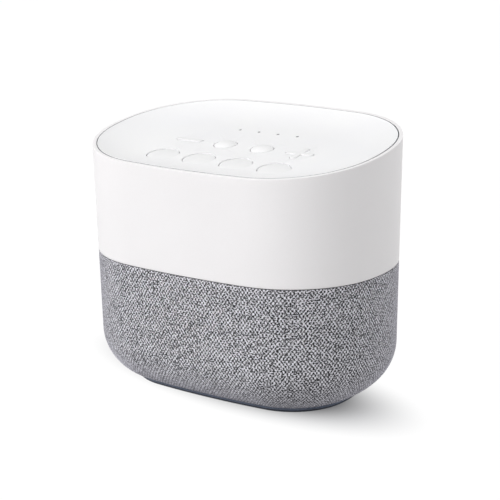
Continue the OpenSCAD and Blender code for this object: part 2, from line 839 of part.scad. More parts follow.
module base_screws() {
    color(steel) four_ways(base_screw_x, base_screw_y) translate([0, 0, head_top])
        screw(screw_d * bite, plate_top - head_top + seat_gap + 0.8 * ear_t, head_d, head_h);
}

module foot_ring() {
    color([0.12, 0.13, 0.15]) around(level_outline)
        translate([-base_in - foot_in - foot_w + slack, 0])
            square([foot_w - 2 * slack, foot_proud + foot_groove]);
}

// ---------- speaker, drawn with its face up and its middle at the baffle ----------

face_w = -speaker_gasket_t;                  // front of the frame's flange
rear_w = face_w - basket_depth;              // seat of the magnet's front plate
cone_w = face_w - frame_t;                   // where the cone's edge lies
coil_out = coil_r + coil_t;
cone_r = baffle_r - seat_gap - surround_w;
magnet_r = baffle_r - magnet_step;
speaker_hole = speaker_w / 2 - speaker_hole_in;
screw_reach = 4;                             // depth of the speaker screws' holes

module square_plate(t, hole_r) {
    difference() {
        translate([-speaker_w / 2, -speaker_w / 2, 0]) cube([speaker_w, speaker_w, t]);
        translate([0, 0, -over]) cylinder(r = hole_r, h = t + 2 * over);
        four_ways(speaker_hole, speaker_hole) translate([0, 0, -over])
            cylinder(d = screw_d + 2 * slack, h = t + 2 * over);
    }
}

module speaker_gasket() {
    color([0.10, 0.10, 0.11]) speaker_axis() translate([0, 0, face_w])
        square_plate(speaker_gasket_t, baffle_r);
}

lip = 0.6;                                   // width of the basket's lip outside the opening
lip_h = 4;                                   // height of the basket's upright wall
lip_w = face_w - lip_h;                      // where the basket starts to narrow

module speaker_frame() {
    rim_r = baffle_r + lip;
    seat_r = magnet_r - over;
    window_w = 0.6 * baffle_r;
    color([0.22, 0.22, 0.24]) speaker_axis() difference() {
        union() {
            translate([0, 0, face_w - frame_t]) square_plate(frame_t, baffle_r);
            rotate_extrude()
                polygon([
                    [baffle_r, face_w - frame_t / 2], [rim_r, face_w - frame_t / 2],
                    [rim_r, lip_w], [magnet_r, rear_w], [coil_out + 2 * over, rear_w],
                    [coil_out + 2 * over, rear_w + frame_t], [seat_r, rear_w + frame_t],
                    [rim_r - over, lip_w]
                ]);
        }
        // windows in the basket
        for (turn = [45:90:315]) rotate([0, 0, turn])
            translate([seat_r - lip, -window_w / 2, rear_w + 2 * frame_t])
                cube([speaker_w / 2, window_w, lip_w - rear_w - 2 * frame_t - over]);
    }
}

module speaker_surround() {
    roll = surround_w / 2;
    mid = cone_r + roll;
    color([0.08, 0.08, 0.09]) speaker_axis() translate([0, 0, cone_w]) rotate_extrude()
        intersection() {
            difference() {
                translate([mid, 0]) circle(r = roll);
                translate([mid, 0]) circle(r = roll - thin);
            }
            translate([cone_r, 0]) square([2 * roll, roll]);
        }
}

module speaker_cone() {
    neck = coil_out + 0.2;
    color([0.20, 0.19, 0.18]) speaker_axis() translate([0, 0, cone_w - seat_gap]) rotate_extrude()
        polygon([
            [neck, -cone_depth], [cone_r, -cone_t], [cone_r + 1, -cone_t], [cone_r + 1, 0],
            [cone_r, 0], [neck, cone_t - cone_depth]
        ]);
}

module dust_cap() {
    cap_r = coil_out + 0.8;
    tall = 2;
    ball = (cap_r ^ 2 + tall ^ 2) / (2 * tall);
    low = cone_w - seat_gap - cone_depth + 1.4;
    color([0.10, 0.10, 0.11]) speaker_axis() translate([0, 0, low]) rotate_extrude()
        intersection() {
            difference() {
                translate([0, tall - ball]) circle(r = ball);
                translate([0, tall - ball]) circle(r = ball - thin);
            }
            square([cap_r, tall]);
        }
}

coil_low = rear_w - plate_t;
coil_top = cone_w - seat_gap - cone_depth + cone_t;

module voice_coil() {
    color([0.72, 0.42, 0.20]) speaker_axis() translate([0, 0, coil_low]) difference() {
        cylinder(r = coil_out, h = coil_top - coil_low);
        translate([0, 0, -over]) cylinder(r = coil_r, h = coil_top - coil_low + 2 * over);
    }
}

module spider() {
    inner = coil_out + slack;
    outer = magnet_r - over - slack;
    step = (outer - inner) / 4;
    ripple = step / 3;
    rise = 3.5 * thin;                       // height over the frame that it is glued to
    color([0.75, 0.60, 0.30]) speaker_axis() translate([0, 0, rear_w + frame_t + rise]) rotate_extrude() {
        for (n = [0:3]) {
            translate([inner + n * step, n % 2 * ripple]) square([step, thin]);
            if (n > 0) translate([inner + n * step - thin / 2, 0]) square([thin, ripple + thin]);
        }
        translate([outer - thin, -rise]) square([thin, rise + ripple + thin]);
    }
}

module magnet_plate() {
    color(steel) speaker_axis() translate([0, 0, rear_w - plate_t]) difference() {
        cylinder(r = magnet_r - 0.5, h = plate_t);
        translate([0, 0, -over]) cylinder(r = coil_out + coil_gap, h = plate_t + 2 * over);
    }
}

module magnet() {
    color([0.20, 0.20, 0.22]) speaker_axis() translate([0, 0, rear_w - plate_t - magnet_t]) difference() {
        cylinder(r = magnet_r, h = magnet_t);
        translate([0, 0, -over]) cylinder(r = coil_out + 1.6, h = magnet_t + 2 * over);
    }
}

module pole_yoke() {
    color(steel) speaker_axis() translate([0, 0, rear_w - 2 * plate_t - magnet_t]) {
        cylinder(r = magnet_r - 0.5, h = plate_t);
        cylinder(r = coil_r - coil_gap, h = 2 * plate_t + magnet_t);
    }
}

module speaker_screws() {
    color(steel) speaker_axis() four_ways(speaker_hole, speaker_hole)
        translate([0, 0, face_w - frame_t])
            screw(screw_d * bite, frame_t + speaker_gasket_t + screw_reach - over, head_d - thin, head_h);
}

tab_t = 1.2;
tab_low = speaker_z + baffle_r + lip + slack;
tab_w = 10;

module terminal_tab() {
    // a small board on the back of the frame's flange, with two eyelets
    color([0.55, 0.38, 0.18]) translate([-tab_w / 2, speaker_gasket_t + frame_t - baffle_y, tab_low])
        cube([tab_w, 0.6 * tab_w, tab_t]);
}

plug_w = 8;
plug_d = 5;
plug_h = 3;

module speaker_connector() {
    color("ivory") translate([-plug_w / 2, lead_y - plug_d / 2, board_z - plug_h])
        cube([plug_w, plug_d, plug_h]);
}

wire_d = 1.3;

module speaker_leads() {
    low = tab_low + tab_t;
    color("firebrick") for (s = [-1, 1])
        translate([s * plug_w / 4, lead_y, low]) cylinder(d = wire_d, h = board_z - plug_h - low);
}

upper_housing();
top_panel();
sound_key_1();
sound_key_2();
sound_key_3();
sound_key_4();
timer_key();
power_key();
volume_down_key();
volume_up_key();
light_pipes();
keypad_mat();
key_board();
indicator_leds();
key_board_screws();
ribbon_sockets();
ribbon_cable();
main_board();
main_board_screws();
processor_chip();
memory_chip();
amplifier_chip();
filter_capacitors();
power_inductor();
speaker_connector();
inlet_shell();
inlet_tongue();
speaker_deck();
housing_screws();
seam_gasket();
grille_shell();
cloth_sleeve();
base_plate();
base_screws();
foot_ring();
speaker_gasket();
speaker_frame();
speaker_surround();
speaker_cone();
dust_cap();
voice_coil();
spider();
magnet_plate();
magnet();
pole_yoke();
speaker_screws();
terminal_tab();
speaker_leads();
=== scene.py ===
import math
import bmesh
import bpy
from mathutils import Matrix, Vector


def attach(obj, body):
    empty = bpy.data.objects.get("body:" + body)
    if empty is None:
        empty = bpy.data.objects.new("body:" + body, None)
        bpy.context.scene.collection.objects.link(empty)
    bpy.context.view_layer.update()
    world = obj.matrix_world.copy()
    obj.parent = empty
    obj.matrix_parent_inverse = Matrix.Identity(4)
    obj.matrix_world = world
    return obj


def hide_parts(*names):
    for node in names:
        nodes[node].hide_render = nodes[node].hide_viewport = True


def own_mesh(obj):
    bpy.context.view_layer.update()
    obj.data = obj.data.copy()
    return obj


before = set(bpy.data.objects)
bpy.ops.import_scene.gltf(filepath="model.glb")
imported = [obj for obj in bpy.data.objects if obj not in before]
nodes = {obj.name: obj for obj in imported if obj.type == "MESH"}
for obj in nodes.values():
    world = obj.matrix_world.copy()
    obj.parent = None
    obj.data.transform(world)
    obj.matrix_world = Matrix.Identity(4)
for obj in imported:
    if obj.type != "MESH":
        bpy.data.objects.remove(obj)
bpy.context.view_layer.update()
print("frame loaded:", len(nodes), "nodes")

toMetres = 0.001  # pieces are drawn in millimetres
nearby = 0.01  # heights this close count as the same

cameraView = {"turn": 34.60, "lift": 15.56, "distance": 545.3, "right": 1.27, "up": 45.06, "roll": -0.772,
              "lens": 110.65, "sensor": 36, "clip": (0.01, 20)}


def heading(view):
    # the direction from the origin to a camera or a lamp
    turn, lift = math.radians(view["turn"]), math.radians(view["lift"])
    return Vector((math.sin(turn) * math.cos(lift), -math.cos(turn) * math.cos(lift), math.sin(lift)))


def addObject(name, data):
    made = bpy.data.objects.new(name, data)
    bpy.context.scene.collection.objects.link(made)
    return made


def makeCamera(view):
    turn, back = math.radians(view["turn"]), heading(view)
    right = Vector((math.cos(turn), math.sin(turn), 0))
    up = back.cross(right)
    lens = bpy.data.cameras.new("camera")
    lens.lens = view["lens"]
    lens.sensor_width = view["sensor"]
    lens.clip_start, lens.clip_end = view["clip"]
    camera = addObject("camera", lens)
    roll = Matrix.Rotation(math.radians(view["roll"]), 4, "Z")
    place = Matrix((right, up, back)).transposed().to_4x4() @ roll
    place.translation = (back * view["distance"] + right * view["right"] + up * view["up"]) * toMetres
    camera.matrix_world = place
    bpy.context.scene.camera = camera


makeCamera(cameraView)
bpy.context.scene.view_settings.view_transform = "Standard"
print("camera placed")


def paint(red, green, blue):  # screen values from 0 to 255
    shares = [value / 255 for value in (red, green, blue)]
    return [s / 12.92 if s <= 0.04045 else ((s + 0.055) / 1.055) ** 2.4 for s in shares] + [1]


def wireMaths(operation, turned=False):  # a method that adds one maths node
    return lambda self, *others: self.maths(operation, *((*others, self) if turned else (self, *others)))


class Wire:
    # a socket of a finish, so that shader maths reads as an expression
    def __init__(self, finish, socket):
        self.finish = finish
        self.socket = socket

    def maths(self, operation, *values):
        return self.finish.node("ShaderNodeMath", dict(enumerate(values)), operation=operation)

    __add__, __sub__, __mul__, __truediv__ = map(wireMaths, ("ADD", "SUBTRACT", "MULTIPLY", "DIVIDE"))
    __rsub__ = wireMaths("SUBTRACT", True)
    __abs__, cosine, nearest, fraction, most = map(
        wireMaths, ("ABSOLUTE", "COSINE", "ROUND", "FRACT", "MAXIMUM"))

    def smooth(self, low, high):
        return self.finish.node("ShaderNodeMapRange", {"Value": self, "From Min": low, "From Max": high},
                                interpolation_type="SMOOTHSTEP")


class Finish:
    # the nodes of a material, or of the world
    def __init__(self, name, holder=None, shader="Principled BSDF", **constants):
        self.material = holder or bpy.data.materials.new(name)
        self.material.use_nodes = True
        self.tree = self.material.node_tree
        self.shader = self.tree.nodes[shader]
        for socket, value in constants.items():
            self.shader.inputs[socket.replace("_", " ")].default_value = value

    def node(self, kind, sockets=None, out=0, **settings):
        made = self.tree.nodes.new(kind)
        for key, value in settings.items():
            setattr(made, key, value)
        for key, value in (sockets or {}).items():
            if isinstance(value, Wire):
                self.tree.links.new(value.socket, made.inputs[key])
            else:
                made.inputs[key].default_value = value
        if isinstance(out, (list, tuple)):
            return [Wire(self, made.outputs[name]) for name in out]
        return Wire(self, made.outputs[out])

    def coords(self, kind="Object"):
        return self.node("ShaderNodeTexCoord", out=kind)

    def split(self, value, out=("X", "Y")):
        return self.node("ShaderNodeSeparateXYZ", {"Vector": value}, out)

    def stretched(self, coords, scale):
        return self.node("ShaderNodeMapping", {"Vector": coords, "Scale": scale})

    def noise(self, coords, scale, detail=2.0, roughness=0.5, out="Fac"):
        return self.node("ShaderNodeTexNoise", {"Vector": coords, "Scale": scale, "Detail": detail,
                                                "Roughness": roughness}, out)

    def blend(self, factor, first, second):
        return self.node("ShaderNodeMix", {0: factor, 6: first, 7: second}, 2, data_type="RGBA")

    def feed(self, **sockets):
        for socket, value in sockets.items():
            self.tree.links.new(value.socket, self.shader.inputs[socket.replace("_", " ")])

    def dress(self, tone, dark, light, wear, rough, height, depth, strength=1.0):
        # colour from one mask, roughness from a second as least and gain, and relief in millimetres
        least, gain = rough
        relief = {"Height": height, "Distance": depth * toMetres, "Strength": strength}
        self.feed(Base_Color=self.blend(tone, paint(*dark), paint(*light)), Roughness=wear * gain + least,
                  Normal=self.node("ShaderNodeBump", relief, "Normal"))
        return self


noiseSpan = (0.3, 0.7)  # most of a noise's values lie between these


def perMetre(size):  # how often a pattern of some millimetres comes in a metre
    return 1000 / size


def grainFinish(name, light, dark, size=0.3, rough=(0.35, 0.45), depth=0.004, slow=4, share=0.5, **constants):
    # a plain material: fine grain, slow change of colour, and roughness that follows both
    finish = Finish(name, **constants)
    place, (least, most) = finish.coords(), rough
    fine = finish.noise(place, perMetre(size), 3)
    broad = finish.noise(place, perMetre(slow), 2)
    mask = (fine * share + broad * (1 - share)).smooth(*noiseSpan)
    return finish.dress(mask, dark, light, mask, (least, most - least), fine, depth)


finishes = {}
plainFinishes = {
    "white_plastic": {"light": (245, 243, 244), "dark": (242, 240, 241), "size": 0.35, "rough": (0.36, 0.44),
                      "depth": 0.0025, "slow": 30, "Specular_IOR_Level": 0.3},
    "panel_plastic": {"light": (247, 247, 247), "dark": (244, 244, 246), "rough": (0.42, 0.50),
                      "depth": 0.003, "slow": 22},
    "key_plastic": {"light": (242, 242, 242), "dark": (238, 238, 239), "size": 0.25, "rough": (0.38, 0.46),
                    "depth": 0.0015, "slow": 9},
    "silicone": {"light": (205, 208, 212), "dark": (190, 194, 199), "size": 0.5, "rough": (0.5, 0.62),
                 "depth": 0.006, "slow": 6},
    "led_body": {"light": (246, 240, 214), "dark": (232, 222, 186), "size": 0.2, "rough": (0.25, 0.35),
                 "slow": 1},
    "screw_steel": {"light": (196, 198, 202), "dark": (150, 152, 158), "size": 0.25, "rough": (0.26, 0.42),
                    "slow": 2, "Metallic": 1.0},
    "socket_plastic": {"light": (238, 233, 218), "dark": (226, 219, 200), "rough": (0.4, 0.5)},
    "chip_epoxy": {"light": (44, 45, 48), "dark": (29, 30, 33), "size": 0.12, "rough": (0.42, 0.6),
                   "depth": 0.006, "slow": 3},
    "capacitor_can": {"light": (205, 208, 212), "dark": (172, 176, 182), "rough": (0.22, 0.34), "slow": 3,
                      "Metallic": 1.0},
    "ferrite": {"light": (62, 63, 67), "dark": (40, 41, 45), "size": 0.15, "rough": (0.55, 0.75),
                "depth": 0.01, "slow": 2},
    "inlet_steel": {"light": (208, 210, 214), "dark": (176, 178, 184), "rough": (0.2, 0.34), "depth": 0.002,
                    "Metallic": 1.0},
    "dark_plastic": {"light": (62, 66, 74), "dark": (46, 49, 56), "rough": (0.45, 0.6), "depth": 0.006,
                     "slow": 9},
    "gasket_foam": {"light": (58, 60, 66), "dark": (24, 25, 28), "size": 0.35, "rough": (0.85, 0.95),
                    "depth": 0.05, "slow": 3, "share": 0.8},
    "base_plastic": {"light": (124, 134, 156), "dark": (110, 119, 140), "rough": (0.4, 0.52), "depth": 0.006,
                     "slow": 12},
    "foot_rubber": {"light": (84, 89, 101), "dark": (66, 70, 81), "size": 0.4, "rough": (0.7, 0.85),
                    "depth": 0.015, "slow": 6},
    "basket_steel": {"light": (72, 73, 78), "dark": (54, 55, 60), "size": 0.4, "rough": (0.4, 0.55),
                     "depth": 0.006, "slow": 5, "Metallic": 0.6},
    "surround_rubber": {"light": (44, 44, 48), "dark": (30, 30, 33), "size": 0.5, "rough": (0.55, 0.7),
                        "depth": 0.006},
    "plated_steel": {"light": (190, 188, 182), "dark": (150, 148, 144), "rough": (0.28, 0.42),
                     "Metallic": 1.0},
    "wire_plastic": {"light": (176, 44, 40), "dark": (150, 32, 30), "rough": (0.4, 0.5), "slow": 3},
}
for slotName, values in plainFinishes.items():
    finishes[slotName] = grainFinish(slotName, **values)


def lightPipeFinish():
    # smoked clear plastic with a faint cloud in it
    smoke = {"light": (96, 98, 104), "dark": (70, 72, 78), "cloud": 1800, "rough": (0.2, 0.1), "depth": 0.002}
    finish = Finish("light_pipe", Coat_Weight=0.4, Coat_Roughness=0.1)
    cloud = finish.noise(finish.coords(), smoke["cloud"], 2)
    return finish.dress(cloud, smoke["dark"], smoke["light"], cloud, smoke["rough"], cloud, smoke["depth"])


def boardFinish():
    # solder mask over copper tracks
    board = {"mask": (22, 84, 52), "track": (34, 110, 66), "pitch": 1.6, "bend": 90, "sway": (0.004, 0.006),
             "wide": (0.2, 0.26), "cut": (0.05, 0.1), "cuts": 3, "rough": (0.3, 0.1), "depth": 0.02}
    finish = Finish("circuit_board", Coat_Weight=0.3, Coat_Roughness=0.2)
    place, often = finish.coords(), perMetre(board["pitch"])
    x, y = finish.split(place)
    bend, (swayX, swayY) = finish.noise(place, board["bend"], 1), board["sway"]
    lines = abs(((x + bend * swayX) * often).fraction() - 0.5).smooth(*board["wide"])
    cuts = abs(((y + bend * swayY) * (often / board["cuts"])).fraction() - 0.5).smooth(*board["cut"])
    track = lines * cuts
    return finish.dress(track, board["track"], board["mask"], track, board["rough"], 1 - track,
                        board["depth"])


def stripedFinish(name, light, dark, axis, pitch, depth, **constants):
    # fine parallel lines, such as windings or the conductors of a ribbon
    stripes = {"dust": 700, "shares": (0.7, 0.3), "rough": (0.32, 0.15)}
    finish = Finish(name, **constants)
    place, (lineShare, dustShare) = finish.coords(), stripes["shares"]
    ridge = (finish.split(place, axis) * (2 * math.pi / pitch / toMetres)).cosine() * 0.5 + 0.5
    dust = finish.noise(place, stripes["dust"], 2)
    tone = ridge * lineShare + dust * dustShare
    return finish.dress(tone, dark, light, dust, stripes["rough"], ridge, depth)


def fibreFinish(name, light, dark, size, depth, rough=0.8):
    # pressed or woven fibres, in two crossed directions
    strands = {"thin": 4, "detail": 4, "roughness": 0.65, "span": (0.35, 0.75)}
    finish = Finish(name)
    place, thin = finish.coords(), strands["thin"]
    long, cross = [
        finish.noise(finish.stretched(place, scale), perMetre(size), strands["detail"], strands["roughness"])
        for scale in ((1, thin, 1), (thin, 1, thin))]
    fibres = long.most(cross).smooth(*strands["span"])
    return finish.dress(fibres, dark, light, fibres, (1, rough - 1), fibres, depth)


weave = {"warp": 0.63, "weft": 0.86, "light": (234, 233, 240), "dark": (8, 9, 11), "pit": (-0.75, 0.3),
         "range": (0.2, 1.12), "slow": 260, "wander": 0.4, "quick": 850, "shake": 0.75, "least": 0.62,
         "fleck": 0.5, "grains": (1700, 2300, 1), "grain": 1.15, "mottles": 420, "mottle": 0.22,
         "closed": (0.2, 0.8), "shade": 0.3, "relief": (0.5, 0.6, 0.3), "depth": 0.2, "strength": 0.8,
         "shine": 0.12}
sheen = {"Sheen_Weight": 0.85, "Sheen_Roughness": 0.4, "Sheen_Tint": paint(232, 230, 244)}


def clothFinish(warpPitch):
    # plain weave of pale yarns with dark pits between them, and a flecked change from yarn to yarn
    finish = Finish("heather_cloth", **sheen)
    place = finish.coords("UV")
    u, v = finish.split(place)
    slowU, slowV = finish.split(finish.noise(place, weave["slow"], 1, out="Color"))
    quickU, quickV = finish.split(finish.noise(place, weave["quick"], 1, out="Color"))
    across, along = [
        part / (pitch * toMetres) + (slow - 0.5) * weave["wander"] + (quick - 0.5) * weave["shake"]
        for part, pitch, slow, quick in ((u, warpPitch, slowU, quickU), (v, weave["weft"], slowV, quickV))]
    warpWave, weftWave = (across * math.pi).cosine(), (along * math.pi).cosine()
    over = (warpWave * weftWave).smooth(*weave["pit"])
    closed = (abs(warpWave) + abs(weftWave)).smooth(*weave["closed"])
    cell = finish.node("ShaderNodeCombineXYZ", {"X": across.nearest(), "Y": along.nearest()})
    fleck = finish.node("ShaderNodeTexWhiteNoise", {"Vector": cell}, "Value", noise_dimensions="2D")
    grain = finish.noise(finish.stretched(place, weave["grains"]), 1, 1).smooth(*noiseSpan)
    mottle = finish.noise(place, weave["mottles"], 2).smooth(*noiseSpan)
    pale = (over * (fleck * weave["fleck"] + weave["least"]) + (grain - 0.5) * weave["grain"]
            + (mottle - 0.5) * weave["mottle"])
    tone = (pale * (closed * weave["shade"] + (1 - weave["shade"]))).smooth(*weave["range"])
    yarn, pit, hair = weave["relief"]
    relief = over * yarn + closed * pit + grain * hair
    return finish.dress(tone, weave["dark"], weave["light"], over, (1, -weave["shine"]), relief,
                        weave["depth"], weave["strength"])


finishes["light_pipe"] = lightPipeFinish()
finishes["circuit_board"] = boardFinish()
finishes["ribbon"] = stripedFinish("ribbon", (226, 227, 230), (186, 188, 194), "X", 1.0, 0.02)
finishes["coil_copper"] = stripedFinish("coil_copper", (214, 132, 78), (150, 82, 44), "Y", 0.24, 0.05,
                                        Metallic=0.9)
finishes["cone_paper"] = fibreFinish("cone_paper", (74, 71, 68), (48, 46, 44), 0.8, 0.03)
finishes["spider_cloth"] = fibreFinish("spider_cloth", (212, 176, 98), (160, 124, 58), 0.5, 0.06)
finishes["tab_board"] = fibreFinish("tab_board", (166, 122, 66), (132, 92, 46), 0.5, 0.01, 0.6)
print("finishes made:", len(finishes) + 1)

body = {"halfWidth": 55, "halfDepth": 37.5, "height": 87, "tilt": math.radians(7.6),
        "faceTurn": math.radians(4.7), "sideTurn": math.radians(9.5), "corner": 34, "seam": 46.5,
        "draft": math.tan(math.radians(1)), "bottomRadius": 17.6, "baseEdge": 1.6,
        "bottomTurn": math.radians(71), "steps": (12, 34, 30)}


def bowArcs(halfWidth, halfDepth):
    # eight arcs that run into each other: middle, radius, start, sweep, steps
    side, face, corner = body["sideTurn"], body["faceTurn"], body["corner"]
    p, q, s, t = 1 - math.cos(side), math.sin(face), math.sin(side), 1 - math.cos(face)
    m = halfWidth - corner * (math.cos(side) - q)
    n = halfDepth - corner * (math.cos(face) - s)
    sideRadius, faceRadius = (m * t - n * q) / (p * t - q * s), (n * p - m * s) / (p * t - q * s)
    x, y = (faceRadius - corner) * math.sin(face), (sideRadius - corner) * math.sin(side)
    sweep = math.pi / 2 - side - face
    sideSteps, cornerSteps, faceSteps = body["steps"]
    arcs = []
    for turn, sx, sy in ((0, 1, 1), (math.pi, -1, -1)):
        arcs.append((Vector((sx * (halfWidth - sideRadius), 0, 0)), sideRadius, turn - side, 2 * side,
                     sideSteps))
        arcs.append((Vector((sx * x, sy * y, 0)), corner, turn + side, sweep, cornerSteps))
        arcs.append((Vector((0, sy * (halfDepth - faceRadius), 0)), faceRadius, turn + math.pi / 2 - face,
                     2 * face, faceSteps))
        arcs.append((Vector((-sx * x, sy * y, 0)), corner, turn + math.pi / 2 + face, sweep, cornerSteps))
    return arcs


levelArcs = bowArcs(body["halfWidth"], body["halfDepth"])
slopeArcs = bowArcs(body["halfWidth"], body["halfDepth"] / math.cos(body["tilt"]))
onSlope = Matrix.Translation((0, 0, body["height"])) @ Matrix.Rotation(body["tilt"], 4, "X")
slopeUp = (onSlope.to_3x3() @ Vector((0, 0, 1))).normalized()
roundHeight = body["baseEdge"] + body["bottomRadius"] * math.sin(body["bottomTurn"])


def wallIn(z):  # how far the drafted wall has come in at a height
    return (body["height"] - z) * body["draft"]


turnIn = wallIn(roundHeight) + body["bottomRadius"]


class Pen:
    # draws a section in the XZ plane, with runs and arcs
    def __init__(self, mesh, x, z):
        self.mesh = mesh
        self.verts = [bmesh.ops.create_vert(mesh, co=(x, 0, z))["vert"][0]]
        self.edges = []

    def step(self):
        made = bmesh.ops.extrude_vert_indiv(self.mesh, verts=[self.verts[-1]])
        self.verts += made["verts"]
        self.edges += made["edges"]
        return made["verts"][0]

    def to(self, x, z, steps=1):
        start = self.verts[-1].co.copy()
        for n in range(1, steps + 1):
            self.step().co = start.lerp(Vector((x, 0, z)), n / steps)
        return self

    def arc(self, x, z, degrees, steps):  # about (x, z), from +X towards +Z where positive
        for _ in range(steps):
            bmesh.ops.rotate(self.mesh, cent=(x, 0, z), verts=[self.step()],
                             matrix=Matrix.Rotation(-math.radians(degrees / steps), 3, "Y"))
        return self

    def close(self):
        self.edges.append(self.mesh.edges.new((self.verts[-1], self.verts[0])))
        return self


def sweepAround(mesh, pen, arcs):
    # carries the pen's section, as offset from the outline and height, around the arcs
    before = set(mesh.faces)
    middle, radius, start = arcs[0][:3]
    place = Matrix.Translation(middle) @ Matrix.Rotation(start, 4, "Z") @ Matrix.Translation((radius, 0, 0))
    bmesh.ops.transform(mesh, matrix=place, verts=pen.verts)
    geom = pen.verts + pen.edges
    for middle, radius, start, sweep, steps in arcs:
        geom = bmesh.ops.spin(mesh, geom=geom, cent=middle, axis=(0, 0, 1), angle=sweep,
                              steps=steps)["geom_last"]
    ends = pen.verts + only(bmesh.types.BMVert, geom)
    bmesh.ops.remove_doubles(mesh, verts=ends, dist=0.01)
    return [face for face in mesh.faces if face not in before]


def turnSection(mesh, pen, steps=64):
    # a full turn of the section about the Z axis, its ends closed where they meet the axis
    bmesh.ops.spin(mesh, geom=pen.verts + pen.edges, cent=(0, 0, 0), axis=(0, 0, 1), angle=2 * math.pi,
                   steps=steps, use_merge=True)
    bmesh.ops.remove_doubles(mesh, verts=mesh.verts, dist=0.0005)


def only(kind, parts):
    return [part for part in parts if isinstance(part, kind)]


def partsOf(faces):
    edges = dict.fromkeys(e for f in faces for e in f.edges)
    return [*faces, *edges, *dict.fromkeys(v for f in faces for v in f.verts)]


def cutBy(mesh, faces, point, direction, drop=True):
    # cuts along a plane, drops what lies past it if asked, and gives the cut's edges and the faces left
    made = bmesh.ops.bisect_plane(mesh, geom=partsOf(faces), dist=0.0001, plane_co=point, plane_no=direction,
                                  clear_outer=drop)
    left = [f for f in only(bmesh.types.BMFace, made["geom"]) if f.is_valid]
    return only(bmesh.types.BMEdge, made["geom_cut"]), left


def openEdges(faces, low, high):
    # the open edges of some faces between two heights
    edges = dict.fromkeys(e for f in faces for e in f.edges if e.is_boundary)
    return [e for e in edges if all(low <= v.co.z <= high for v in e.verts)]


def joinLoops(mesh, first, second, away):
    # bridges two loops in one plane, with the first held away meanwhile so that neither is turned round
    verts = list(dict.fromkeys(v for e in first for v in e.verts))
    bmesh.ops.translate(mesh, vec=away, verts=verts)
    bmesh.ops.bridge_loops(mesh, edges=first + second)
    bmesh.ops.translate(mesh, vec=-away, verts=verts)


def softenEdges(mesh, edges, size, segments=3):
    edges = [e for e in edges if e.is_valid]
    bmesh.ops.bevel(mesh, geom=edges, offset=size, segments=segments, profile=0.5, affect="EDGES",
                    material=-1, clamp_overlap=True)


def creases(mesh, angle, test):
    # edges where the surface turns by more than an angle, and whose ends pass a test
    return [e for e in mesh.edges if len(e.link_faces) == 2 and e.calc_face_angle(0) > math.radians(angle)
            and all(test(v.co) for v in e.verts)]


def cutOut(mesh, cutter):
    # takes the cutter's solids out of the mesh
    pair = []
    for name, source in (("work", mesh), ("cutter", cutter)):
        bmesh.ops.recalc_face_normals(source, faces=source.faces)
        data = bpy.data.meshes.new(name)
        source.to_mesh(data)
        pair.append(addObject(name, data))
    boolean = pair[0].modifiers.new("cut", "BOOLEAN")
    boolean.object, boolean.operation, boolean.solver = pair[1], "DIFFERENCE", "EXACT"
    shaped = pair[0].evaluated_get(bpy.context.evaluated_depsgraph_get())
    mesh.clear()
    mesh.from_mesh(shaped.to_mesh())
    shaped.to_mesh_clear()
    for thing in pair:
        bpy.data.objects.remove(thing)
    cutter.free()


def shift(mesh, x, y, z=0):
    bmesh.ops.translate(mesh, vec=(x, y, z), verts=mesh.verts)


def moveAll(mesh, matrix):
    bmesh.ops.transform(mesh, matrix=matrix, verts=mesh.verts)


def addPiece(name, mesh, finish, body="housing", replaces=(), place=None, sharp=32):
    # scales to metres, gives the finish, and puts the piece on its body
    bmesh.ops.recalc_face_normals(mesh, faces=mesh.faces)
    moveAll(mesh, Matrix.Scale(toMetres, 4) @ (place or Matrix()))
    for face in mesh.faces:
        face.smooth = True
    for edge in creases(mesh, sharp, lambda point: True):
        edge.smooth = False
    data = bpy.data.meshes.new(name)
    mesh.to_mesh(data)
    mesh.free()
    piece = addObject(name, data)
    data.materials.append(finishes[finish].material)
    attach(piece, body)
    if replaces:
        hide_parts(*replaces)
    return piece


def stadium(mesh, width, height, steps=14):
    # a flat face with round ends, in the XY plane
    corners = bmesh.ops.create_grid(mesh, x_segments=1, y_segments=1, size=0.5)["verts"]
    bmesh.ops.scale(mesh, vec=(width, height, 1), verts=corners)
    nearlyHalf = 0.4999  # a full half would let the corners meet
    bmesh.ops.bevel(mesh, geom=corners, offset=min(width, height) * nearlyHalf, segments=steps, profile=0.5,
                    affect="VERTICES", material=-1)
    return next(iter(mesh.faces))


def raiseFaces(mesh, faces, by):
    # extrudes faces, and takes the old ones away where they would stay inside a shell
    inside = [f for f in faces if any(len(e.link_faces) > 1 for e in f.edges)]
    made = bmesh.ops.extrude_face_region(mesh, geom=faces)["geom"]
    bmesh.ops.translate(mesh, vec=by, verts=only(bmesh.types.BMVert, made))
    bmesh.ops.delete(mesh, geom=inside, context="FACES_ONLY")
    return only(bmesh.types.BMFace, made)


def post(mesh, x, y, radius, low, high, hole=0, depth=0):
    # an upright round post with a hole from its far end
    lone = bmesh.new()
    floor = high - depth if hole else high
    pen = Pen(lone, 0, low).to(radius, low).to(radius, high)
    if hole:
        pen.to(hole, high).to(hole, floor)
    pen.to(0, floor)
    turnSection(lone, pen, 32)
    shift(lone, x, y)
    join(mesh, lone)


def join(mesh, other):
    data = bpy.data.meshes.new("part")
    bmesh.ops.recalc_face_normals(other, faces=other.faces)
    other.to_mesh(data)
    mesh.from_mesh(data)
    bpy.data.meshes.remove(data)
    other.free()


def block(size, matrix):
    # a box, with its middle and its turn as the matrix says
    mesh = bmesh.new()
    bmesh.ops.create_cube(mesh, size=1)
    moveAll(mesh, matrix @ Matrix.Diagonal((*size, 1)))
    return mesh


def fillInstead(mesh, faces):
    # deletes the faces, and fills the holes that this leaves
    bmesh.ops.delete(mesh, geom=faces, context="FACES_ONLY")
    return bmesh.ops.holes_fill(mesh, edges=[e for e in mesh.edges if e.is_boundary], sides=0)["faces"]


def disc(mesh, radius, segments):
    bmesh.ops.create_circle(mesh, cap_ends=True, segments=segments, radius=radius)


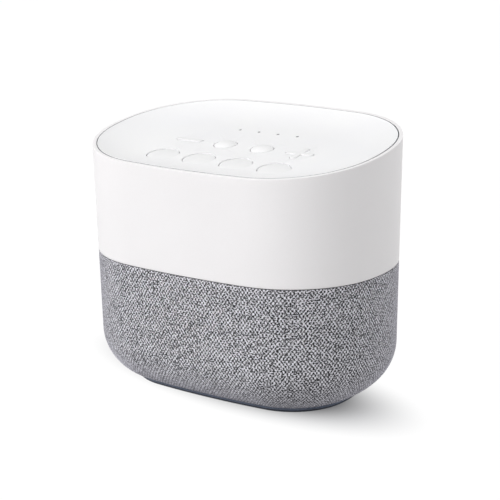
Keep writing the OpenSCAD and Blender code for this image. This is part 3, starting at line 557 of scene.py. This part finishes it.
fourWays = [(x, y) for x in (-1, 1) for y in (-1, 1)]

housing = {"wall": 2.6, "rim": 1.3, "ledge": 3.1, "rimEdge": 0.98, "rimInnerEdge": 0.12, "seamEdge": 0.3,
           "seamRun": 0.8, "over": 8, "runSteps": 6, "inlet": (9.4, 3.7), "inletHeight": 57.15,
           "inletEdge": 0.3, "inletCut": (30, 12), "inletZone": (5, 36.3, 2), "boss": (38, 20),
           "bossSize": (3.5, 0.91), "bossReach": (48.3, 62.3), "pilotDepth": 0.9, "rib": 2, "ribShort": 2,
           "cornerMiddle": (20.78, 2.65), "apart": 20}


def makeHousing():
    mesh = bmesh.new()
    top, low, tall = Vector((0, 0, body["height"])), body["seam"], body["height"] + housing["over"]
    bend = low + housing["seamRun"]
    skins = []
    for inset in (0, housing["rim"], housing["wall"]):
        pen = Pen(mesh, -wallIn(low) - inset, low).to(-wallIn(bend) - inset, bend)
        skins.append(sweepAround(mesh, pen.to(-wallIn(tall) - inset, tall, housing["runSteps"]), levelArcs))
    ledge = top - slopeUp * housing["ledge"]
    rimTop, outer = cutBy(mesh, skins[0], top, slopeUp)
    rimInner, rim = cutBy(mesh, skins[1], top, slopeUp)
    ledgeOuter, rim = cutBy(mesh, rim, ledge, -slopeUp)
    ledgeInner, inner = cutBy(mesh, skins[2], ledge, slopeUp)
    cutBy(mesh, outer, top - slopeUp, slopeUp, False)
    seamOuter, seamInner = [openEdges(skin, low - nearby, low + nearby) for skin in (outer, inner)]
    for first, second in ((rimTop, rimInner), (ledgeInner, ledgeOuter), (seamOuter, seamInner)):
        joinLoops(mesh, first, second, slopeUp * housing["apart"])
    bmesh.ops.recalc_face_normals(mesh, faces=mesh.faces)
    softenEdges(mesh, rimTop, housing["rimEdge"], 7)
    softenEdges(mesh, rimInner, housing["rimInnerEdge"], 3)
    softenEdges(mesh, seamOuter, housing["seamEdge"], 3)
    cutter = bmesh.new()
    start, long = housing["inletCut"]
    raiseFaces(cutter, [stadium(cutter, *housing["inlet"])], (0, 0, long))
    lying = Matrix.Rotation(-math.pi / 2, 4, "X")
    moveAll(cutter, Matrix.Translation((0, start, housing["inletHeight"])) @ lying)
    cutOut(mesh, cutter)
    wide, behind, high = housing["inletZone"]
    mouth = creases(mesh, 60,
                    lambda p: p.y > behind and abs(p.z - housing["inletHeight"]) < high and abs(p.x) < wide)
    softenEdges(mesh, mouth, housing["inletEdge"], 3)
    (low, high), (radius, pilot) = housing["bossReach"], housing["bossSize"]
    for sx, sy in fourWays:
        x, y = sx * housing["boss"][0], sy * housing["boss"][1]
        away = Vector((x - sx * housing["cornerMiddle"][0], y - sy * housing["cornerMiddle"][1], 0))
        length = body["corner"] - away.length - housing["ribShort"]
        turned = Matrix.Rotation(math.atan2(away.y, away.x), 4, "Z") @ Matrix.Translation((length / 2, 0, 0))
        place = Matrix.Translation((x, y, (low + high) / 2)) @ turned
        join(mesh, block((length, housing["rib"], high - low), place))
        post(mesh, x, y, radius, high, low, pilot, -(high - low) * housing["pilotDepth"])
    addPiece("upperHousing", mesh, "white_plastic", replaces=["upper_housing"])


makeHousing()
print("upper housing made")

keys = {"pitch": 15.1, "frontRow": -16.9, "middleRow": -1.2, "gap": 0.31, "soundRadius": 5.5,
        "domeRadius": 3.9, "bar": (10.4, 2.0), "fillet": 0.25, "lightRow": 14.2, "lightPitch": 7.95}
panel = {"inset": 1.68, "drop": -0.04, "depth": 3.42, "run": 17.87, "thick": 2, "flat": 6, "edge": 0.12,
         "edgeThick": 2.4, "turnShare": 0.975, "lightHole": 0.6, "cut": (-7, 6),
         "holeZone": (31, -23.5, 15.5), "holeEdge": 0.08, "post": (32.4, 20, -2), "postSize": (2.8, 0.7),
         "postStart": 0.2, "postEnd": -11.02, "pilotDepth": 5}
dishFloor, dishIn = -panel["depth"], panel["inset"] + panel["run"]
dishRise = panel["depth"] - panel["drop"]
dishRadius = (panel["run"] ** 2 + dishRise ** 2) / (2 * dishRise)
dishTurn = math.degrees(math.asin(panel["run"] / dishRadius))


def keyPlace(n, row, step=None):
    return (n - 1.5) * (step or keys["pitch"]), row


def barShape(mesh, grow=0, plus=False):
    # the outline of a minus or plus key as one flat face
    length, width = keys["bar"][0] + 2 * grow, keys["bar"][1] + 2 * grow
    if not plus:
        return stadium(mesh, length, width)
    arm, half, fillet = (length - width) / 2, width / 2, keys["fillet"]
    points = ((arm, -half), (arm, 0), (half + fillet, half), (half + fillet, half + fillet))
    pen = None
    for turn in range(4):  # each arm's round tip, then the inner corner to the next arm
        spin = Matrix.Rotation(turn * math.pi / 2, 2)
        start, tip, side, corner = (spin @ Vector(point) for point in points)
        pen = pen.to(*start) if pen else Pen(mesh, *start)
        pen.arc(*tip, 180, 16).to(*side).arc(*corner, -90, 4)
    pen.close()
    bmesh.ops.remove_doubles(mesh, verts=mesh.verts, dist=0.001)
    bmesh.ops.rotate(mesh, cent=(0, 0, 0), matrix=Matrix.Rotation(-math.pi / 2, 3, "X"), verts=mesh.verts)
    return bmesh.ops.contextual_create(mesh, geom=mesh.edges[:])["faces"][0]


def makePanel():
    mesh = bmesh.new()
    inset, drop, edge, thick = panel["inset"], panel["drop"], panel["edge"], panel["thick"]
    ring = dishIn + panel["flat"]
    pen = Pen(mesh, -ring, dishFloor).to(-dishIn, dishFloor, 4)
    pen.arc(-dishIn, dishFloor + dishRadius, dishTurn * panel["turnShare"], 16)
    pen.to(-inset - edge, -drop).to(-inset - edge * 0.3, -drop - edge * 0.3).to(-inset, -drop - edge)
    pen.to(-inset, -drop - panel["edgeThick"]).to(-inset - 2 * thick, -drop - panel["edgeThick"])
    pen.to(-dishIn, dishFloor - thick, 8).to(-ring, dishFloor - thick, 2).close()
    sweepAround(mesh, pen, slopeArcs)
    inner = [f for f in mesh.faces if abs(f.calc_center_median().z - dishFloor + thick / 2) < nearby]
    floors = fillInstead(mesh, inner)
    cuts = [(Vector((*keyPlace(n, 0), 0)), Vector((1, 0, 0))) for n in range(4)]
    cuts.append((Vector((0, keys["middleRow"], 0)), Vector((0, 1, 0))))
    for point, direction in cuts:  # so that the floor's faces have no holes in their middles
        floors = cutBy(mesh, floors, point, direction, False)[1]
    cutter, (low, tall), gap = bmesh.new(), panel["cut"], keys["gap"]
    rounds = ((keys["frontRow"], keys["soundRadius"] + gap, None),
              (keys["lightRow"], panel["lightHole"], keys["lightPitch"]))
    for n in range(4):
        for row, radius, step in rounds:
            cut = bmesh.new()
            disc(cut, radius, 72)
            raiseFaces(cut, cut.faces[:], (0, 0, tall))
            shift(cut, *keyPlace(n, row, step), low)
            join(cutter, cut)
        cut = bmesh.new()
        if n in (1, 2):
            disc(cut, keys["domeRadius"] + gap, 64)
        else:
            barShape(cut, gap, n == 3)
        raiseFaces(cut, cut.faces[:], (0, 0, tall))
        shift(cut, *keyPlace(n, keys["middleRow"]), low)
        join(cutter, cut)
    cutOut(mesh, cutter)
    bmesh.ops.recalc_face_normals(mesh, faces=mesh.faces)
    side, front, back = panel["holeZone"]
    holes = creases(mesh, 50, lambda p: abs(p.x) < side and front < p.y < back and p.z > dishFloor - nearby)
    softenEdges(mesh, holes, panel["holeEdge"], 2)
    x, y, off = panel["post"]
    radius, pilot = panel["postSize"]
    for sx, sy in fourWays:
        post(mesh, sx * x, sy * y + off, radius, dishFloor - panel["postStart"], panel["postEnd"], pilot,
             -panel["pilotDepth"])
    addPiece("topPanel", mesh, "panel_plastic", replaces=["top_panel"], place=onSlope, sharp=12)


makePanel()

# the dark strip in the gap between the rim and the panel is painted shade; top, deep and lap place it
gapShadeStrip = {"top": 0.055, "deep": 0.9, "lap": 0.02}


def makeGapShadeStrip():
    # a thin dark strip down in the gap between the rim and the panel: painted shade that darkens the gap
    mesh = bmesh.new()
    out, back = -housing["rim"] + gapShadeStrip["lap"], -panel["inset"] - gapShadeStrip["lap"]
    top = -gapShadeStrip["top"]
    low = top - gapShadeStrip["deep"]
    pen = Pen(mesh, out, top).to(back, top).to(back, low).to(out, low).close()
    sweepAround(mesh, pen, slopeArcs)
    addPiece("panelGapShadeStrip", mesh, "dark_plastic", place=onSlope)


makeGapShadeStrip()
print("top panel and gapShadeStrip made")

keyShape = {"foot": -8.22, "stem": 1.6, "stemEdge": 0.2, "collar": (-6.72, -5.72), "collarWide": 1,
            "soundTop": -3.27, "crown": 0.4, "domeRise": 1.1, "barTop": -3.12, "barEdge": 0.12,
            "barCollar": (2, 3), "edge": 0.1}


def ballRadius(radius, rise):  # of the ball whose cap has a given radius and rise
    return (radius ** 2 + rise ** 2) / (2 * rise)


def roundKey(name, n, row, radius, top, crown):
    mesh = bmesh.new()
    low, high = keyShape["collar"]
    foot, stem, cut, edge = (keyShape[part] for part in ("foot", "stem", "stemEdge", "edge"))
    ball, collar = ballRadius(radius, crown), radius + keyShape["collarWide"]
    pen = Pen(mesh, 0, foot).to(stem - cut, foot).to(stem, foot + cut).to(stem, low)
    pen.to(collar, low).to(collar, high).to(radius, high)
    pen.to(radius, top - crown - edge * 1.6).to(radius, top - crown - edge * 0.9)
    start = math.degrees(math.asin((radius - edge) / ball))
    edgeHeight = top - ball + math.sqrt(ball ** 2 - (radius - edge) ** 2)
    pen.to(radius - edge * 0.25, edgeHeight - edge * 0.35).to(radius - edge, edgeHeight)
    pen.arc(0, top - ball, start, 14)
    turnSection(mesh, pen, 80)
    shift(mesh, *keyPlace(n, row))
    addPiece(name + "Cap", mesh, "key_plastic", body=name, replaces=[name], place=onSlope, sharp=50)


def barKey(name, n, plus):
    mesh = bmesh.new()
    low, high = keyShape["collar"]
    faces = [barShape(mesh, 0, plus)]
    shift(mesh, 0, 0, low)
    raiseFaces(mesh, faces, (0, 0, keyShape["barTop"] - low))
    bmesh.ops.recalc_face_normals(mesh, faces=mesh.faces)
    softenEdges(mesh, creases(mesh, 60, lambda p: p.z > keyShape["barTop"] - nearby), keyShape["barEdge"], 4)
    collar, (length, width), (longer, wider) = bmesh.new(), keys["bar"], keyShape["barCollar"]
    if plus:
        disc(collar, length / 2 + keyShape["collarWide"], 64)
    else:
        stadium(collar, length + longer, width + wider)
    shift(collar, 0, 0, low)
    raiseFaces(collar, collar.faces[:], (0, 0, high - low))
    join(mesh, collar)
    post(mesh, 0, 0, keyShape["stem"], keyShape["foot"], low + keyShape["stemEdge"])
    shift(mesh, *keyPlace(n, keys["middleRow"]))
    addPiece(name + "Cap", mesh, "key_plastic", body=name, replaces=[name], place=onSlope, sharp=30)


for n in range(4):
    roundKey(f"sound_key_{n + 1}", n, keys["frontRow"], keys["soundRadius"], keyShape["soundTop"],
             keyShape["crown"])
for n, name in ((1, "timer_key"), (2, "power_key")):
    roundKey(name, n, keys["middleRow"], keys["domeRadius"], dishFloor + keyShape["domeRise"],
             keyShape["domeRise"])
barKey("volume_down_key", 0, False)
barKey("volume_up_key", 3, True)
print("keys made")

lights = {"radius": 0.5, "under": 1.2, "low": -9.82, "collar": -5.72, "dome": 0.06}


def makeLights():
    mesh = bmesh.new()
    for n in range(4):
        lone = bmesh.new()
        radius, dome = lights["radius"], lights["dome"]
        ball = ballRadius(radius, dome)
        pen = Pen(lone, 0, lights["low"]).to(lights["under"], lights["low"])
        pen.to(lights["under"], lights["collar"])
        pen.to(radius, lights["collar"]).to(radius, dishFloor - dome)
        pen.arc(0, dishFloor - ball, math.degrees(math.asin(radius / ball)), 5)
        turnSection(lone, pen, 32)
        shift(lone, *keyPlace(n, keys["lightRow"], keys["lightPitch"]))
        join(mesh, lone)
    addPiece("lightPipes", mesh, "light_pipe", replaces=["light_pipes"], place=onSlope)


makeLights()
print("lights made")

cloth = {"thick": 0.9, "top": 46.2, "tuck": 2.0, "hem": 0.4, "fold": 0.4}


def aroundAt(point, arcs):
    # the length along the outline at a point, from where the first arc starts
    done, near = 0, []
    for middle, radius, start, sweep, _ in arcs:
        turn = math.atan2(point.y - middle.y, point.x - middle.x) - start - sweep / 2
        turn = (turn + math.pi) % (2 * math.pi) - math.pi
        near.append((abs(turn) - sweep / 2, done + (turn + sweep / 2) * radius))
        done += radius * sweep
    return min(near)[1]


around = sum(radius * sweep for _, radius, _, sweep, _ in levelArcs)
warpPitch = around / (2 * round(around / 2 / weave["warp"]))
finishes["heather_cloth"] = clothFinish(warpPitch)


def makeCloth():
    mesh = bmesh.new()
    along = mesh.verts.layers.float.new("along")
    radius, thick, top, hem = body["bottomRadius"], cloth["thick"], cloth["top"], cloth["hem"]
    fold, turn = hem * cloth["fold"], math.degrees(body["bottomTurn"])
    x, z = Vector((-turnIn, roundHeight))
    pen = Pen(mesh, x, z - radius)
    bmesh.ops.rotate(mesh, cent=(x, 0, z), verts=pen.verts,
                     matrix=Matrix.Rotation(math.radians(turn - 90), 3, "Y"))
    pen.arc(x, z, turn, 22).to(-wallIn(top - hem), top - hem, 26)
    pen.arc(-wallIn(top - hem) - hem, top - hem, 90, 4)
    pen.to(-wallIn(top) - thick + fold, top).to(-wallIn(top) - thick, top - fold)
    pen.to(x + radius - thick, roundHeight, 14).arc(x, z, -turn, 12).close()
    done = 0
    for n, vert in enumerate(pen.verts):
        done += (vert.co - pen.verts[n - 1].co).length if n else 0
        vert[along] = done
    sweepAround(mesh, pen, levelArcs)
    chart = mesh.loops.layers.uv.new("weave")
    for face in mesh.faces:
        places = [(aroundAt(loop.vert.co, levelArcs), loop.vert[along], loop) for loop in face.loops]
        far = max(place[0] for place in places)
        for turn, height, loop in places:
            if far - turn > around / 2:
                turn += around
            loop[chart].uv = (turn * toMetres, height * toMetres)
    piece = addPiece("clothSleeve", mesh, "heather_cloth", replaces=["cloth_sleeve"])


makeCloth()
print("cloth sleeve made")

seam = {"low": 46.0, "high": 46.5, "bulge": 0.08, "out": 1.1}
foot = {"inset": 0.5, "wide": 4.8, "high": 1.3, "edge": 0.25}
base = {"inset": 13.07, "low": 0.8, "step": 1.6, "high": 3.1, "inner": 18.6, "middle": 24, "edge": 0.2,
        "screw": (27, 9), "recess": (2.1, 2.1), "recessZone": 2.2, "recessEdge": 0.18}
screw = {"head": (1.9, 0.9, 2.1), "dome": 0.25, "shank": 0.8, "end": 6.6, "tip": (0.4, 0.6), "drive": 0.24,
         "deep": 0.75, "proud": 0.5, "taper": 0.6, "turns": (0.5, 1, 0.4)}


def makeGasket():
    # the gasket between the housing and the cloth. Its dark colour, seen through the seam's gap, also gives
    # the seam its dark line, so it is partly painted shade
    mesh = bmesh.new()
    low, high, bulge = seam["low"], seam["high"], seam["bulge"]
    out, back = -wallIn(high) - seam["out"], -wallIn(high) - housing["wall"]
    pen = Pen(mesh, back, low).to(out - bulge, low).to(out, (low + high) / 2)
    pen.to(out - bulge, high).to(back, high)
    sweepAround(mesh, pen.close(), levelArcs)
    addPiece("seamGasket", mesh, "gasket_foam", replaces=["seam_gasket"])


def makeFoot():
    mesh = bmesh.new()
    out = -base["inset"] - foot["inset"]
    back, edge = out - foot["wide"], foot["edge"]
    pen = Pen(mesh, back + edge, 0).to(out - edge, 0).arc(out - edge, edge, 90, 4).to(out, foot["high"])
    pen.to(back, foot["high"]).to(back, edge).arc(back + edge, edge, 90, 4).close()
    sweepAround(mesh, pen, levelArcs)
    addPiece("rubberRing", mesh, "foot_rubber", replaces=["foot_ring"])


def makeBase():
    mesh = bmesh.new()
    wanted = ("inset", "low", "high", "edge", "step", "middle", "inner")
    inset, low, high, edge, step, middle, inner = (base[part] for part in wanted)
    groove, grooveTop = -inset - foot["inset"], foot["high"]
    grooveEnd = groove - foot["wide"]
    pen = Pen(mesh, -middle, low).to(grooveEnd, low, 2).to(grooveEnd, grooveTop)
    pen.to(groove, grooveTop).to(groove, low)
    pen.to(-inset - edge, low).arc(-inset - edge, low + edge, 90, 5).to(-inset, step).to(-inner, step)
    pen.to(-inner, high).to(-middle, high).close()
    sweepAround(mesh, pen, levelArcs)
    walls = [f for f in mesh.faces
             if max(v.co.z for v in f.verts) - min(v.co.z for v in f.verts) > high - low - nearby]
    floors = fillInstead(mesh, walls)
    x, y = base["screw"]
    for n in range(2):
        for side in (-1, 1):
            floors = cutBy(mesh, floors, Vector((side * x, side * y, 0)), Vector((1 - n, n, 0)), False)[1]
    cutter, (radius, deep) = bmesh.new(), base["recess"]
    for sx, sy in fourWays:
        post(cutter, sx * x, sy * y, radius, -1, deep)
    cutOut(mesh, cutter)
    zone = base["recessZone"]
    rings = creases(mesh, 60,
                    lambda p: abs(p.z - low) < nearby and math.hypot(abs(p.x) - x, abs(p.y) - y) < zone)
    softenEdges(mesh, rings, base["recessEdge"], 2)
    addPiece("basePlate", mesh, "base_plastic", replaces=["base_plate"])


def makeScrews():
    mesh, lone, cross = bmesh.new(), bmesh.new(), bmesh.new()
    (radius, low, high), shank, end, (point, cone) = (screw[part] for part in ("head", "shank", "end", "tip"))
    ball, drive, taper = ballRadius(radius, screw["dome"]), screw["drive"], screw["taper"]
    pen = Pen(lone, 0, end).to(shank * point, end).to(shank, end - cone)
    pen.to(shank, high).to(radius, high).to(radius, low + screw["dome"])
    pen.arc(0, low + ball, -math.degrees(math.asin(radius / ball)), 8)
    turnSection(lone, pen, 48)
    far = raiseFaces(cross, [barShape(cross, 0, True)], (0, 0, screw["deep"] / drive))[0]
    bmesh.ops.scale(cross, vec=(taper, taper, 1), verts=far.verts)
    bmesh.ops.scale(cross, vec=(drive, drive, drive), verts=cross.verts)
    raiseFaces(cross, [f for f in cross.faces if f.calc_center_median().z < nearby], (0, 0, -screw["proud"]))
    shift(cross, 0, 0, low)
    cutOut(lone, cross)
    (x, y), (turn, turnX, turnY) = base["screw"], screw["turns"]
    for sx, sy in fourWays:
        turned, spin = lone.copy(), Matrix.Rotation(turn + turnX * sx + turnY * sy, 4, "Z")
        moveAll(turned, Matrix.Translation((sx * x, sy * y, 0)) @ spin)
        join(mesh, turned)
    lone.free()
    addPiece("baseScrews", mesh, "screw_steel", replaces=["base_screws"])


makeGasket()
makeFoot()
makeBase()
makeScrews()
print("base made")

inlet = {"size": (9, 3.3), "mouth": 36.18, "long": 8, "wall": 0.4, "back": 0.3, "edge": 0.12,
         "tongue": (6.5, 0.7), "tongueEnd": 35.18, "block": (8.1, 2.5, 1.6), "contacts": 12, "pitch": 0.5,
         "contact": (0.28, 3.4, 0.04), "contactSet": (0.5, 0.01)}


def makeInlet():
    level = housing["inletHeight"]
    place = Matrix.Translation((0, inlet["mouth"], level)) @ Matrix.Rotation(math.pi / 2, 4, "X")
    mesh = bmesh.new()
    raiseFaces(mesh, [stadium(mesh, *inlet["size"])], (0, 0, inlet["long"]))
    front = [f for f in mesh.faces if f.calc_center_median().z < nearby]
    bmesh.ops.inset_region(mesh, faces=front, thickness=inlet["wall"], use_even_offset=True)
    raiseFaces(mesh, front, (0, 0, inlet["long"] - inlet["back"]))
    softenEdges(mesh, creases(mesh, 60, lambda p: p.z < nearby), inlet["edge"], 3)
    addPiece("inletShell", mesh, "inlet_steel", replaces=["inlet_shell"], place=place)
    mesh = bmesh.new()
    start = inlet["mouth"] - inlet["long"]
    for wide, tall, high in ((*inlet["tongue"], inlet["tongueEnd"]),
                             (*inlet["block"][:2], start + inlet["block"][2])):
        bar = block((wide, high - start, tall), Matrix.Translation((0, (start + high) / 2, level)))
        softenEdges(bar, bar.edges[:], inlet["edge"], 3)
        join(mesh, bar)
    addPiece("inletTongue", mesh, "dark_plastic", replaces=["inlet_tongue"])
    mesh = bmesh.new()
    (wide, long, tall), (back, sunk) = inlet["contact"], inlet["contactSet"]
    for n in range(inlet["contacts"]):
        for side in (-1, 1):
            x = (n - (inlet["contacts"] - 1) / 2) * inlet["pitch"]
            z = level + side * (inlet["tongue"][1] / 2 + tall / 2 - sunk)
            middle = Matrix.Translation((x, inlet["tongueEnd"] - back - long / 2, z))
            join(mesh, block((wide, long, tall), middle))
    addPiece("inletContacts", mesh, "plated_steel")


makeInlet()
print("inlet made")

mat = {"top": -10.22, "thick": 0.8, "half": 28.05, "rows": (-22.3, 4.2), "corner": 1.2, "edge": 0.12}
dome = {"foot": 4.0, "skirt": 0.25, "top": 2.1, "high": 1.7, "pill": 1.7, "hollow": 0.9, "edge": 0.15,
        "keep": 0.66}
surround = {"middle": (0, -24.776, 25.35), "roll": 1.55, "thick": 0.4, "centre": 14.15, "keep": 0.6}


def makeMat():
    (front, back), thick, top = mat["rows"], mat["thick"], mat["top"]
    middle = Matrix.Translation((0, (front + back) / 2, top - thick / 2))
    mesh = block((2 * mat["half"], back - front, thick), middle)
    softenEdges(mesh, [e for e in mesh.edges if abs(e.verts[0].co.z - e.verts[1].co.z) > thick / 2],
                mat["corner"], 6)
    softenEdges(mesh, creases(mesh, 60, lambda p: True), mat["edge"], 2)
    addPiece("keypadMat", mesh, "silicone", replaces=["keypad_mat"], place=onSlope)
    foot, pill, tip, edge = (dome[part] for part in ("foot", "pill", "top", "edge"))
    high, hollow, skirt = (top + dome[part] for part in ("high", "hollow", "skirt"))
    for row, names in ((keys["frontRow"], [f"sound_key_{n + 1}" for n in range(4)]),
                       (keys["middleRow"], ["volume_down_key", "timer_key", "power_key", "volume_up_key"])):
        for n, name in enumerate(names):
            mesh = bmesh.new()
            pen = Pen(mesh, 0, hollow).to(pill, hollow).to(pill, top).to(foot, top).to(foot, skirt - edge)
            pen.arc(foot - edge, skirt - edge, 90, 4).to(tip, high - edge * 1.4, 4)
            pen.to(tip - edge * 0.4, high - edge * 0.4).to(tip - edge * 1.4, high).to(0, high)
            turnSection(mesh, pen, 40)
            x, y = keyPlace(n, row)
            shift(mesh, x, y)
            piece = addPiece(name + "Dome", mesh, "silicone", replaces=["keypad_mat"], place=onSlope)
            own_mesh(piece)


def makeSurround():
    mesh = bmesh.new()
    roll, centre, inner = surround["roll"], surround["centre"], surround["roll"] - surround["thick"]
    pen = Pen(mesh, centre - roll, 0).arc(centre, 0, -180, 16).to(centre + inner, 0)
    pen.arc(centre, 0, 180, 16).close()
    turnSection(mesh, pen, 72)
    place = Matrix.Translation(surround["middle"]) @ Matrix.Rotation(math.pi / 2, 4, "X")
    piece = addPiece("speakerSurround", mesh, "surround_rubber", replaces=["speaker_surround"], place=place)
    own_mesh(piece)


makeMat()
makeSurround()
print("soft pieces made")

nodeFinishes = {
    "circuit_board": ["key_board", "main_board"], "led_body": ["indicator_leds"],
    "screw_steel": ["key_board_screws", "main_board_screws", "housing_screws", "speaker_screws"],
    "socket_plastic": ["ribbon_sockets", "speaker_connector"], "ribbon": ["ribbon_cable"],
    "chip_epoxy": ["processor_chip", "memory_chip", "amplifier_chip"], "capacitor_can": ["filter_capacitors"],
    "ferrite": ["power_inductor", "magnet"], "dark_plastic": ["speaker_deck", "grille_shell"],
    "gasket_foam": ["speaker_gasket"], "basket_steel": ["speaker_frame"],
    "cone_paper": ["speaker_cone", "dust_cap"], "coil_copper": ["voice_coil"], "spider_cloth": ["spider"],
    "plated_steel": ["magnet_plate", "pole_yoke"], "tab_board": ["terminal_tab"],
    "wire_plastic": ["speaker_leads"],
}
for finishName, names in nodeFinishes.items():
    for name in names:
        material, slots = finishes[finishName].material, nodes[name].data.materials
        if len(slots) == 0:
            slots.append(material)
        for index in range(len(slots)):
            slots[index] = material
print("inner pieces finished")

# near is a painted shadow colour for the floor round the object; shadow, shadowTurn and shadowDepth give the
# oval of that painted shadow
studio = {"floor": 3.0, "near": paint(134, 134, 143), "far": paint(44, 44, 44),
          "bounce": paint(186, 186, 186), "shadow": (0.083, 0.033, 1), "shadowTurn": math.radians(-9.9),
          "shadowDepth": 0.655, "ambient": 0.17, "shine": 0.8, "away": 1.3, "lampSize": 0.8, "aim": 0.06}
lamps = {"key": {"turn": -27, "lift": 37, "power": 14.9}, "fill": {"turn": 86, "lift": 34, "power": 6.6},
         "back": {"turn": 176, "lift": 18, "power": 5.2}}


def makeFloor():
    mesh = bmesh.new()
    bmesh.ops.create_grid(mesh, x_segments=1, y_segments=1, size=studio["floor"])
    data = bpy.data.meshes.new("floor")
    mesh.to_mesh(data)
    mesh.free()
    floor = addObject("floor", data)
    finish = Finish("floor", Roughness=0.9, Specular_IOR_Level=0, Emission_Strength=1)
    rays = ("Is Camera Ray", "Is Glossy Ray", "Is Transmission Ray", "Is Diffuse Ray")
    seen, mirrored, through, spread = finish.node("ShaderNodeLightPath", out=rays)
    # the floor's white glow fades to nothing in an oval round the object. This is a painted shadow, and the
    # lamps' real shadows also show inside it
    turn = (0, 0, studio["shadowTurn"])
    place = finish.node("ShaderNodeMapping",
                        {"Vector": finish.coords(), "Rotation": turn, "Scale": studio["shadow"]},
                        vector_type="TEXTURE")
    away = finish.node("ShaderNodeVectorMath", {0: place}, "Value", operation="LENGTH").smooth(0, 1)
    white = (away * (1 + studio["shadowDepth"]) - studio["shadowDepth"]).most(0)
    glow = (seen + mirrored * studio["shine"] + through) * white
    behind = finish.node("ShaderNodeNewGeometry", out="Backfacing")
    # inside the oval the floor takes the lilac grey of the painted shadow, lit by the lamps; outside it the
    # floor is dark under the full glow; diffuse rays see the bounce colour
    finish.feed(Base_Color=finish.blend(spread, finish.blend(away, studio["near"], studio["far"]),
                                        studio["bounce"]), Alpha=1 - behind,
                Emission_Color=finish.blend(glow, [0, 0, 0, 1], [1, 1, 1, 1]))
    data.materials.append(finish.material)


def makeLight():
    world = bpy.data.worlds.new("studio")
    bpy.context.scene.world = world
    sky = Finish("studio", world, "Background", Color=(1, 1, 1, 1))
    spread, shine = sky.node("ShaderNodeLightPath", out=("Is Diffuse Ray", "Is Glossy Ray"))
    sky.feed(Strength=1 - spread * (1 - studio["ambient"]) - shine * (1 - studio["shine"]))
    for name, lamp in lamps.items():
        glow = bpy.data.lights.new(name, "AREA")
        glow.shape, glow.size, glow.energy = "DISK", studio["lampSize"], lamp["power"]
        light = addObject(name, glow)
        light.location = heading(lamp) * studio["away"]
        light.visible_camera = False
        towards = Vector((0, 0, studio["aim"])) - light.location
        light.rotation_euler = towards.to_track_quat("-Z", "Y").to_euler()


makeFloor()
makeLight()
print("studio made")
